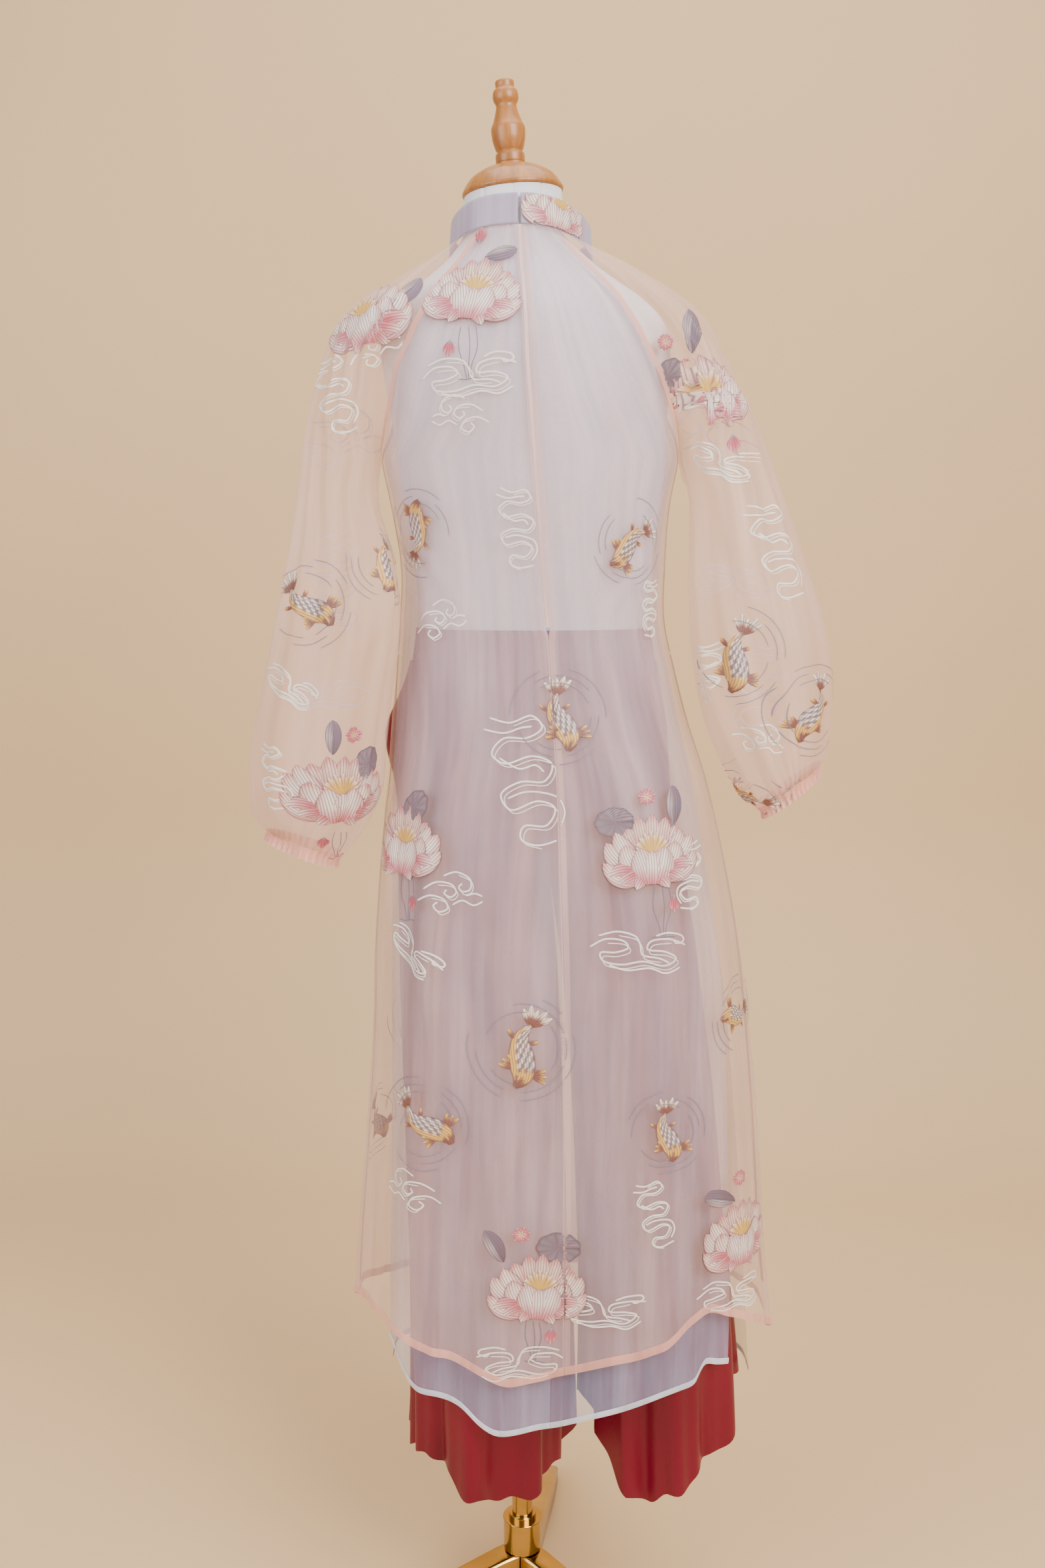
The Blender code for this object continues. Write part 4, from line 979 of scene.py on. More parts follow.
def form_cloth(name, colour):
    """A matt woven cover."""
    shader = Shader(name)
    where = shader.coordinates("Object")
    cloud = shader.noise(where, 14.0, 4.0, 0.6)
    dark, light = shades(colour, 0.86, 1.04)
    tint = shader.ramp(cloud, [(0.3, dark), (0.7, light)])
    warp = shader.wave(where, 260.0, 1.0, "X")
    weft = shader.wave(where, 260.0, 1.0, "Z")
    weave = shader.bump(shader.math("ADD", warp, weft), 0.35, 0.0004)
    return shader.set(
        base_color=tint, roughness=0.88, normal=weave, sheen_weight=0.25, sheen_roughness=0.5,
        specular_ior_level=0.25,
    )


def turned_wood(name, colour):
    """Varnished wood with its grain along Z."""
    shader = Shader(name)
    grain_at = shader.coordinates("Object", (46, 46, 7))
    grain = shader.noise(grain_at, 1.6, 6.0, 0.62, 1.4)
    rings = shader.wave(shader.coordinates("Object", (30, 30, 5)), 1.5, 6.0, "X")
    deep, dark, light = shades(colour, 0.50, 0.80, 1.18)
    tint = shader.ramp(grain, [(0.25, deep), (0.45, dark), (0.68, light)])
    tint = shader.mix(shader.fit(rings, 0.0, 0.3), tint, (*dark, 1))
    pores = shader.bump(grain, 0.12, 0.0004)
    return shader.set(
        base_color=tint, roughness=shader.fit(grain, 0.34, 0.5), normal=pores, coat_weight=0.35,
        coat_roughness=0.18,
    )


def polished_brass(name, colour):
    """Polished brass with faint turning marks and a few duller patches."""
    shader = Shader(name)
    where = shader.coordinates("Object")
    patches = shader.noise(where, 18.0, 4.0, 0.6)
    dark, light = shades(colour, 0.82, 1.06)
    tint = shader.ramp(patches, [(0.35, dark), (0.65, light)])
    marks = shader.noise(shader.coordinates("Object", (6, 6, 420)), 2.0, 3.0, 0.6)
    return shader.set(
        base_color=tint, metallic=1.0, roughness=shader.fit(patches, 0.10, 0.22),
        normal=shader.bump(marks, 0.05, 0.0002),
    )


def embroidery_thread(name):
    """Silk floss: each patch keeps its own colour, with the dark gaps between its stitches."""
    shader = Shader(name)
    colour = shader.node("ShaderNodeAttribute", attribute_name="thread").outputs["Color"]
    uv = shader.coordinates("UV")
    stitch = shader.wave(uv, 112.0, 0.6, "X")
    gap = shader.fit(shader.math("POWER", stitch, 4.0), 0.0, 0.85)
    fine = shader.noise(shader.coordinates("UV", (400, 1600, 1)), 1.0, 3.0, 0.6)
    tint = shader.mix(gap, colour, (0.22, 0.055, 0.07, 1))
    tint = shader.mix(shader.fit(fine, 0.0, 0.10), tint, (0.9, 0.87, 0.86, 1))
    relief = shader.bump(shader.math("ADD", stitch, fine), 0.5, 0.0004)
    return shader.set(
        base_color=tint, roughness=0.42, normal=relief, sheen_weight=0.12, sheen_roughness=0.3,
        specular_ior_level=0.5,
    )


def plain_stage(name, colour):
    shader = Shader(name)
    cloud = shader.noise(shader.coordinates("Object"), 1.2, 3.0, 0.5)
    dark, light = shades(colour, 0.96, 1.02)
    behind = shader.node("ShaderNodeNewGeometry").outputs["Backfacing"]
    return shader.set(
        base_color=shader.ramp(cloud, [(0.3, dark), (0.7, light)]), roughness=0.9,
        alpha=shader.math("SUBTRACT", 1.0, behind),
    )


def found_material(name, maker, *values):
    """A material by name, made once."""
    return bpy.data.materials.get(name) or maker(name, *values)


def organza():
    cloth = bpy.context.scene.aodai_cloth
    return found_material("organza", sheer_cloth, cloth.organza, cloth.organza_cover)


def seam_cloth():
    return found_material("organza seam", sheer_cloth, srgb(250, 206, 200), 0.42, 0.5)


def hem_cloth():
    cloth = bpy.context.scene.aodai_cloth
    return found_material("organza hem", sheer_cloth, cloth.hem, 0.72, 0.5)


def lining():
    cloth = bpy.context.scene.aodai_cloth
    return found_material("sheer lilac lining", sheer_cloth, cloth.lining, cloth.lining_cover, 0.38)


def brass():
    return found_material("polished brass", polished_brass, bpy.context.scene.aodai_stand.brass)


def wood():
    return found_material("varnished wood", turned_wood, bpy.context.scene.aodai_stand.wood)


# ---- Stage ----

CAMERA_PLACE = Vector((0.0, -1.62, 1.26))
CAMERA_PITCH = radians(8.5)
FOCAL_PIXELS = 2200
PHOTO_SIZE = (1568, 2352)
SENSOR = 36.0
ROOM_SIZE = 9.0
WALL_Y = 1.8
WALL_BEND = 0.7
FLOOR_DROP = 0.0005
ROOM_LIGHT = (0.93, 0.90, 0.86, 1)
ROOM_LIGHT_STRENGTH = 0.52
# `share` is a lamp's part of the main lamp's power
Lamp = namedtuple("Lamp", "name place target size share colour")
LAMPS = table(Lamp, (
    ("key_lamp", (1.6, -2.3, 2.6), (0, 0, 1.1), (1.8, 1.8), 1, (1.0, 0.96, 0.91)),
    ("fill_lamp", (-2.2, -1.9, 1.8), (0, 0, 0.9), (2.0, 2.2), 0.45, (0.96, 0.97, 1.0)),
    ("top_lamp", (0.1, -0.1, 3.6), (0.1, -0.1001, 0), (2.4, 2.4), 0.5, (1.0, 0.98, 0.94)),
))


def pixel_ray(x, y):
    """Start and direction of the line of sight through a pixel of the photographed frame."""
    across = (x - PHOTO_SIZE[0] / 2) / FOCAL_PIXELS
    down = (y - PHOTO_SIZE[1] / 2) / FOCAL_PIXELS
    ahead = Vector((0, cos(CAMERA_PITCH), -sin(CAMERA_PITCH)))
    below = Vector((0, -sin(CAMERA_PITCH), -cos(CAMERA_PITCH)))
    direction = ahead + Vector((1, 0, 0)) * across + below * down
    return CAMERA_PLACE + AXIS, direction.normalized()


def area_lamp(name, place, target, size, power, colour):
    data = bpy.data.lights.new(name, "AREA")
    data.shape = "RECTANGLE"
    data.size, data.size_y = size
    data.energy = power
    data.color = colour
    lamp = bpy.data.objects.new(name, data)
    lamp.location = place
    lamp.rotation_euler = (Vector(target) - Vector(place)).to_track_quat("-Z", "Y").to_euler()
    bpy.context.scene.collection.objects.link(lamp)


class AODAI_OT_stage(bpy.types.Operator):
    """Builds the floor, the backdrop, the lamps and the camera"""

    bl_idname = "aodai.stage"
    bl_label = "Stage"

    def execute(self, context):
        settings = context.scene.aodai_stage
        bm = bmesh.new()
        bmesh.ops.create_grid(bm, x_segments=1, y_segments=1, size=ROOM_SIZE)
        back = [edge for edge in bm.edges if all(v.co.y > ROOM_SIZE - 0.1 for v in edge.verts)]
        wall = bmesh.ops.extrude_edge_only(bm, edges=back)["geom"]
        raised = [g for g in wall if isinstance(g, bmesh.types.BMVert)]
        bmesh.ops.translate(bm, verts=raised, vec=(0, 0, ROOM_SIZE))
        bmesh.ops.translate(bm, verts=bm.verts, vec=(0, WALL_Y - ROOM_SIZE, -FLOOR_DROP))
        bend = [e for e in bm.edges if all(v.co.y > WALL_Y - 0.1 and v.co.z < 0.1 for v in e.verts)]
        bmesh.ops.bevel(
            bm, geom=bend, offset=WALL_BEND, affect="EDGES", segments=12, profile=0.5, material=-1,
        )
        backdrop = new_object("backdrop", bm, found_material("backdrop", plain_stage, settings.wall))
        power = settings.lamp_power
        for lamp in LAMPS:
            area_lamp(lamp.name, lamp.place, lamp.target, lamp.size, power * lamp.share, lamp.colour)
        world = bpy.data.worlds.new("room")
        world.use_nodes = True
        room_light = world.node_tree.nodes["Background"].inputs
        room_light["Color"].default_value = ROOM_LIGHT
        room_light["Strength"].default_value = ROOM_LIGHT_STRENGTH
        context.scene.world = world
        data = bpy.data.cameras.new("camera")
        data.sensor_width = SENSOR
        data.lens = FOCAL_PIXELS / PHOTO_SIZE[1] * SENSOR
        camera = bpy.data.objects.new("camera", data)
        camera.location = CAMERA_PLACE + AXIS
        camera.rotation_euler = (RIGHT_ANGLE - CAMERA_PITCH, 0, 0)
        context.scene.collection.objects.link(camera)
        context.scene.camera = camera
        return {"FINISHED"}


# ---- Form and stand ----

CAP_OUTLINE = (
    (0.0515, 0.0), (0.0532, 0.0012), (0.0535, 0.0035), (0.0520, 0.0065), (0.0490, 0.0112), (0.0430, 0.0180),
    (0.0320, 0.0245), (0.0215, 0.0283), (0.0180, 0.0292), (0.0165, 0.0296), (0.0165, 0.0310),
)
FINIAL_OUTLINE = (
    (0.0143, 0.0), (0.0153, 0.0012), (0.0153, 0.0085), (0.0136, 0.0108), (0.0139, 0.0125), (0.0150, 0.0150),
    (0.0172, 0.0230), (0.0180, 0.0310), (0.0176, 0.0362), (0.0150, 0.0420), (0.0118, 0.0520),
    (0.0108, 0.0580), (0.0130, 0.0625), (0.0136, 0.0670), (0.0126, 0.0720), (0.0100, 0.0752),
    (0.0099, 0.0812), (0.0080, 0.0830),
)
CAP_HEIGHT = 0.031
HUB_RADIUS = 0.0225
HUB_TOP = 0.126
HUB_BOTTOM = 0.0863
POLE_COLLAR_RADIUS = 0.0165
POLE_COLLAR_HEIGHT = 0.006
POLE_RADIUS = 0.0125
LEG_REACH = 0.270
LEG_DIRECTIONS = {"base_leg_right": -38.5, "base_leg_back": 81.5, "base_leg_left": 201.5}
Station = namedtuple("Station", "reach half_width bottom top")
LEG_STATIONS = table(Station, (
    (0.0006, 0.0005, 0.0500, 0.0860), (0.0098, 0.0160, 0.0480, 0.0860), (0.0280, 0.0158, 0.0440, 0.0830),
    (0.1200, 0.0140, 0.0230, 0.0590), (0.2150, 0.0120, 0.0000, 0.0345), (0.2560, 0.0112, 0.0000, 0.0240),
    (LEG_REACH, 0.0085, 0.0000, 0.0150),
))
LEG_CHAMFER = 0.003
GROOVE_DEPTH = 0.0012
GROOVE_WIDTH = radians(1.6)
PRINCESS_SEAM = 0.62
FORM_SEAMS = (
    0, RIGHT_ANGLE, pi, 3 * RIGHT_ANGLE, FULL_TURN, PRINCESS_SEAM, FULL_TURN - PRINCESS_SEAM,
)


def lean_with_neck(bm, foot):
    """Stands a turned piece on the neck, which leans a little to one side."""
    place = Matrix.Translation(AXIS + Vector((NECK_CENTRE_X, 0, NECK_TOP + SEAM)))
    lean = Matrix.Rotation(-TOP_TILT, 4, "Y") @ Matrix.Translation((0, 0, foot))
    bmesh.ops.transform(bm, matrix=place @ lean, verts=bm.verts)


class AODAI_OT_dress_form(bpy.types.Operator):
    """Builds the padded form: torso, neck, and the seams of its cover"""

    bl_idname = "aodai.dress_form"
    bl_label = "Dress form"

    def execute(self, context):
        columns = 193
        turns = np.linspace(0, FULL_TURN, columns)
        rows = []
        for z in np.linspace(FORM_BOTTOM, NECK_TOP, 116):
            points = FORM_BODY.points(turns, np.full(columns, z))
            lean = min(max((z - NECK_FOOT) / (NECK_TOP - NECK_FOOT), 0), 1)
            points[:, 2] += lean * (points[:, 0] - NECK_CENTRE_X) * tan(TOP_TILT)
            groove = np.zeros(columns)
            for seam in FORM_SEAMS:
                groove += np.exp(-(((turns - seam) / GROOVE_WIDTH) ** 2))
            rows.append(points - outward(turns) * (groove * GROOVE_DEPTH)[:, None])
        bm = grid_bmesh(np.array(rows))
        bmesh.ops.remove_doubles(bm, verts=bm.verts, dist=1e-6)
        rims = [edge for edge in bm.edges if edge.is_boundary]
        bmesh.ops.holes_fill(bm, edges=rims, sides=0)
        bmesh.ops.recalc_face_normals(bm, faces=bm.faces)
        cover = found_material("cream form cover", form_cloth, context.scene.aodai_stand.form_cloth)
        form = new_object("form_cover", bm, cover)
        form.data.set_sharp_from_angle(angle=radians(50))
        finished(form, "form cloth", "dress_form")
        return {"FINISHED"}


class AODAI_OT_topping(bpy.types.Operator):
    """Builds the turned cap and finial"""

    bl_idname = "aodai.topping"
    bl_label = "Cap and finial"

    def execute(self, context):
        steps = context.scene.aodai_stand.steps
        pieces = (("cap_turning", CAP_OUTLINE, 0.0, "neck_cap"),
                  ("finial_turning", FINIAL_OUTLINE, CAP_HEIGHT + SEAM, "finial"))
        for name, outline, foot, node in pieces:
            bm = turned_bmesh(rounded(outline, 4), steps)
            lean_with_neck(bm, foot)
            piece = new_object(name, bm, wood())
            piece.data.set_sharp_from_angle(angle=radians(40))
            finished(piece, "turned wood", node)
        return {"FINISHED"}


class AODAI_OT_stand(bpy.types.Operator):
    """Builds the brass pole, hub and legs"""

    bl_idname = "aodai.stand"
    bl_label = "Stand"

    def execute(self, context):
        steps = context.scene.aodai_stand.steps
        edge = 0.0008
        hub = (
            (HUB_RADIUS - edge, HUB_BOTTOM), (HUB_RADIUS, HUB_BOTTOM + edge), (HUB_RADIUS, HUB_TOP - 0.002),
            (HUB_RADIUS + 0.001, HUB_TOP - 0.0015), (HUB_RADIUS + 0.001, HUB_TOP - 0.0004),
            (HUB_RADIUS + 0.0006, HUB_TOP), (POLE_COLLAR_RADIUS, HUB_TOP),
            (POLE_COLLAR_RADIUS, HUB_TOP + POLE_COLLAR_HEIGHT - edge),
            (POLE_COLLAR_RADIUS - edge, HUB_TOP + POLE_COLLAR_HEIGHT),
        )
        foot = HUB_TOP + POLE_COLLAR_HEIGHT + SEAM
        pole = ((POLE_RADIUS, foot), (POLE_RADIUS, FORM_BOTTOM - SEAM))
        for name, outline, node in (("hub_turning", hub, "base_hub"), ("pole_tube", pole, "pole")):
            bm = turned_bmesh(outline, steps)
            bmesh.ops.translate(bm, verts=bm.verts, vec=AXIS)
            piece = new_object(name, bm, brass())
            piece.data.set_sharp_from_angle(angle=radians(35))
            finished(piece, "brass", node)
        for node, degrees in LEG_DIRECTIONS.items():
            self.leg(node, degrees)
        return {"FINISHED"}

    def leg(self, node, degrees):
        rings = []
        for at in LEG_STATIONS:
            chamfer = min(LEG_CHAMFER, at.half_width * 0.5)
            outline = (
                (-at.half_width, at.bottom), (at.half_width, at.bottom),
                (at.half_width, at.top - chamfer), (at.half_width - chamfer, at.top),
                (chamfer - at.half_width, at.top), (-at.half_width, at.top - chamfer),
            )
            rings.append([(at.reach, across, z) for across, z in outline + outline[:1]])
        bm = bmesh.new()
        bmesh.ops.create_grid(bm, x_segments=6, y_segments=len(rings) - 1, size=1)
        bm.verts.ensure_lookup_table()
        for vert, point in zip(bm.verts, (p for ring in rings for p in ring)):
            vert.co = point
        bmesh.ops.remove_doubles(bm, verts=bm.verts, dist=1e-6)
        bmesh.ops.holes_fill(bm, edges=[e for e in bm.edges if e.is_boundary], sides=0)
        bmesh.ops.recalc_face_normals(bm, faces=bm.faces)
        sharp = [e for e in bm.edges if len(e.link_faces) == 2 and e.calc_face_angle() > radians(25)]
        bmesh.ops.bevel(
            bm, geom=sharp, offset=0.0007, affect="EDGES", segments=2, profile=0.5, material=-1,
        )
        turn = Matrix.Translation(AXIS) @ Matrix.Rotation(radians(degrees), 4, "Z")
        bmesh.ops.transform(bm, matrix=turn, verts=bm.verts)
        leg = new_object(node.replace("base_leg", "brass_leg"), bm, brass())
        leg.data.set_sharp_from_angle(angle=radians(30))
        finished(leg, "brass", node)


# ---- Garment pieces ----


class AODAI_OT_trousers(bpy.types.Operator):
    """Builds the satin trousers and their waistband"""

    bl_idname = "aodai.trousers"
    bl_label = "Trousers"

    def execute(self, context):
        cloth = context.scene.aodai_cloth
        satin = found_material("draped red satin", satin_cloth, cloth.satin)
        for node, side, levels, hem, flat in (
            ("trouser_left", -1, LEFT_LEG, LEFT_LEG_HEM, (0.564, 0.913)),
            ("trouser_right", 1, RIGHT_LEG, RIGHT_LEG_HEM, (0.549, 0.901)),
        ):
            grid = leg_grid(side, levels, hem, 160, cloth.step * 1.4)
            leg = new_object(node + "_satin", grid_bmesh(grid), satin)
            finished(leg, "red satin", node)
        rows = []
        for z in np.linspace(WAIST_Z - WAISTBAND_HEIGHT, WAIST_Z, 6):
            section = form_section(z)
            gap = SEAM / 2 / section.back
            turns = np.linspace(gap, FULL_TURN - gap, 128)
            rows.append(FORM_BODY.points(turns, np.full(128, z)) + outward(turns) * WAISTBAND_DEPTH)
        band = new_object("trouser_waistband_satin", grid_bmesh(np.array(rows)), satin)
        finished(band, "red satin", "trouser_waistband")
        return {"FINISHED"}


class AODAI_OT_slip(bpy.types.Operator):
    """Builds the lilac slip and its hems"""

    bl_idname = "aodai.slip"
    bl_label = "Slip"

    def execute(self, context):
        step = context.scene.aodai_cloth.step
        for node, side, columns, flat, area in (
            ("slip_back_left", -1, 60, (0.267, 1.305), 0.285),
            ("slip_back_right", 1, 60, (0.215, 1.316), 0.242),
            ("slip_front", 0, 110, (0.549, 1.275), 0.560),
        ):
            panel = slip_panel(side)
            piece = new_object(node + "_cloth", grid_bmesh(panel_grid(panel, columns, step)), lining())
            finished(piece, "lilac lining", node)
            hem = hem_strip(node + "_hem", panel, columns, 0.007, 0.0006, slip_hem(), outside=True)
            finished(hem, "lilac lining")
        return {"FINISHED"}


def slip_hem():
    return found_material("lining hem", sheer_cloth, srgb(214, 222, 240), 0.85, 0.4)


def hem_strip(name, panel, columns, width, lift, material, outside=True):
    """The turned hem of a panel: a second layer along its lower edge."""
    share = np.linspace(0, 1, columns)
    hem = hem_heights(panel, share)
    sign = 1 if outside else -1
    rows = []
    for i in range(4):
        rise = i / 3 * width
        t = rise / (SKIRT_START - HEM_ROW_TOP)
        first, last = panel.edges(HEM_ROW_TOP + (SKIRT_START - HEM_ROW_TOP) * t)
        turns = first + (last - first) * share
        swell = lift * (1.6 if 0 < i < 3 else 1.0)
        rows.append(panel_surface(panel, turns, hem + rise, sign * swell))
    return new_object(name, grid_bmesh(np.array(rows)), material)


def edge_strip(name, panel, end, width, lift, material, low, high, step=0.012):
    """A turned edge up the side of a panel. `end` is 0 for its first edge and 1 for its last."""
    rows = []
    for level in np.arange(low, high, step):
        first, last = panel.edges(level)
        near, way = (first, 1) if end == 0 else (last, -1)
        fine = near + way * np.linspace(0, 0.6, 121)
        path = panel_surface(panel, fine, neckline_heights(level, fine) * np.ones(121))
        gone = np.concatenate([[0], np.linalg.norm(np.diff(path, axis=0), axis=1).cumsum()])
        turns = np.interp(np.linspace(0, width, 4), gone, fine)
        if end == 1:
            turns = turns[::-1]
        heights = neckline_heights(level, turns) * np.ones(4)
        rows.append(panel_surface(panel, turns, heights, lift))
    return new_object(name, grid_bmesh(np.array(rows)), material)


class AODAI_OT_tunic(bpy.types.Operator):
    """Builds the outer back and front panels with their turned hems and slit edges"""

    bl_idname = "aodai.tunic"
    bl_label = "Tunic panels"

    def execute(self, context):
        step = context.scene.aodai_cloth.step
        for node, side, columns, flat, area in (
            ("back_left", -1, 84, (0.338, 1.238), 0.300),
            ("back_right", 1, 84, (0.350, 1.255), 0.293),
            ("front", 0, 150, (0.640, 1.208), 0.572),
        ):
            panel = outer_panel(side)
            piece = new_object(node + "_organza", grid_bmesh(panel_grid(panel, columns, step)), organza())
            finished(piece, "embroidered organza", node)
            trims = [hem_strip(node + "_hem", panel, columns, 0.010, 0.0005, hem_cloth())]
            slit_low, slit_high = 0.43, SLIT_TOP
            for end in (0, 1):
                at_centre = side != 0 and end == (1 if side < 0 else 0)
                if at_centre:
                    trims.append(edge_strip(
                        f"{node}_centre_allowance", panel, end, 0.0060 if side > 0 else 0.0016, -0.0006,
                        seam_cloth(), float(hem_heights(panel, [0.5 - side / 2])[0]) + 0.004, 1.579,
                    ))
                else:
                    trims.append(edge_strip(
                        f"{node}_slit_edge_{end}", panel, end, 0.009, 0.0005, hem_cloth(),
                        slit_low, slit_high,
                    ))
                    trims.append(edge_strip(
                        f"{node}_seam_{end}", panel, end, 0.008, 0.0006, hem_cloth(), slit_high, 1.579,
                    ))
            for trim in trims:
                finished(trim, "embroidered organza")
        return {"FINISHED"}


SLEEVE_COLUMNS = 250
CUFF_BAND = 0.022
SLEEVES = {
    -1: ("sleeve_left", LEFT_YOKE, LEFT_TUBE, LEFT_SLEEVE_CREASES, (0.42, 0.716), 0.225),
    1: ("sleeve_right", RIGHT_YOKE, RIGHT_TUBE, RIGHT_SLEEVE_CREASES, (0.42, 0.669), 0.205),
}


class AODAI_OT_sleeves(bpy.types.Operator):
    """Builds the raglan sleeves with their gathered elastic cuffs"""

    bl_idname = "aodai.sleeves"
    bl_label = "Sleeves"

    def execute(self, context):
        step = context.scene.aodai_cloth.step
        for side, (node, yoke, tube, creases, flat, area) in SLEEVES.items():
            grid = sleeve_grid(side, yoke, tube, creases, SLEEVE_COLUMNS, step)
            piece = new_object(node + "_organza", grid_bmesh(grid), organza())
            finished(piece, "embroidered organza", node)
            rows = grid[-max(4, int(CUFF_BAND / step) + 1):]
            out = rows - rows.mean(axis=1, keepdims=True)
            out /= np.linalg.norm(out, axis=2, keepdims=True)
            cuff = new_object(node + "_cuff", grid_bmesh(rows + out * 0.0005), hem_cloth())
            finished(cuff, "embroidered organza")
        return {"FINISHED"}


class AODAI_OT_collar(bpy.types.Operator):
    """Builds the stand collar"""

    bl_idname = "aodai.collar"
    bl_label = "Collar"

    def execute(self, context):
        turns = np.linspace(COLLAR_OPENING, FULL_TURN - COLLAR_OPENING, 180)
        heights = neckline_heights(NECKLINE_LEVEL, turns)
        foot = OUTER_BODY.points(turns, heights)
        inward = foot - np.array([NECK_CENTRE_X, 0, 0])
        inward[:, 2] = 0
        inward /= np.linalg.norm(inward, axis=1, keepdims=True)
        rows = [
            foot - inward * (COLLAR_INSET + COLLAR_LEAN * share)
            + np.array([0, 0, COLLAR_LIFT + COLLAR_HEIGHT * share])
            for share in np.linspace(0, 1, 12)
        ]
        piece = new_object("collar_organza", grid_bmesh(np.array(rows)), collar_cloth())
        solidify = piece.modifiers.new("Two layers", "SOLIDIFY")
        solidify.thickness = 0.0009
        solidify.offset = -1
        finished(piece, "embroidered organza", "collar")
        return {"FINISHED"}


def collar_cloth():
    return found_material("collar cloth", sheer_cloth, srgb(190, 176, 202), 0.93, 0.5)


class AODAI_OT_zip(bpy.types.Operator):
    """Builds the concealed zip in the centre-back seam"""

    bl_idname = "aodai.zip"
    bl_label = "Zip"

    def execute(self, context):
        rows = []
        for level in np.arange(WAIST_Z + 0.004, NECKLINE_LEVEL, 0.006):
            z = float(neckline_heights(level, 0.0))
            section = outer_section(z)
            left, right = (turn_at(section, side, ZIP_WIDTH / 2) for side in (-1, 1))
            turns = np.array([-left, -left * 0.5, 0, right * 0.5, right])
            points = OUTER_BODY.points(turns, np.full(5, z))
            points[:, 1] -= np.array([0, 0.0006, 0.0, 0.0006, 0])
            rows.append(points)
        tape = found_material("pink zip tape", sheer_cloth, srgb(232, 196, 192), 1.0, 0.6)
        piece = new_object("zip_closed", grid_bmesh(np.array(rows)), tape)
        finished(piece, "zip tape", "back_zip")
        return {"FINISHED"}


# ---- Embroidery ----

DROP_REACH = 0.07
STITCH_LIFT = 0.00035
LAYER_LIFT = 0.00004
PETAL_SHARES = np.array([-1.0, -0.86, -0.55, -0.28, 0.0, 0.28, 0.55, 0.86, 1.0])
CORD_SHARES = np.array([-1.0, 0.0, 1.0])
MM = 0.001


def ribbon(spine, halves, shares):
    """Rows of points across a curve in the plane, from its left side to its right."""
    ahead = np.gradient(spine, axis=0)
    ahead /= np.maximum(np.linalg.norm(ahead, axis=1, keepdims=True), 1e-9)
    side = np.stack([ahead[:, 1], -ahead[:, 0]], -1)
    return spine[:, None, :] + side[:, None, :] * (halves[:, None] * shares[None, :])[..., None]


def blend(stops, t):
    """Colours along a patch from (share, colour) stops."""
    places = [stop[0] for stop in stops]
    return np.stack([np.interp(t, places, [stop[1][c] for stop in stops]) for c in range(3)], -1)


def cloth_under(name):
    mesh = bpy.data.objects[name].data
    return BVHTree.FromPolygons([v.co for v in mesh.vertices], [p.vertices for p in mesh.polygons])


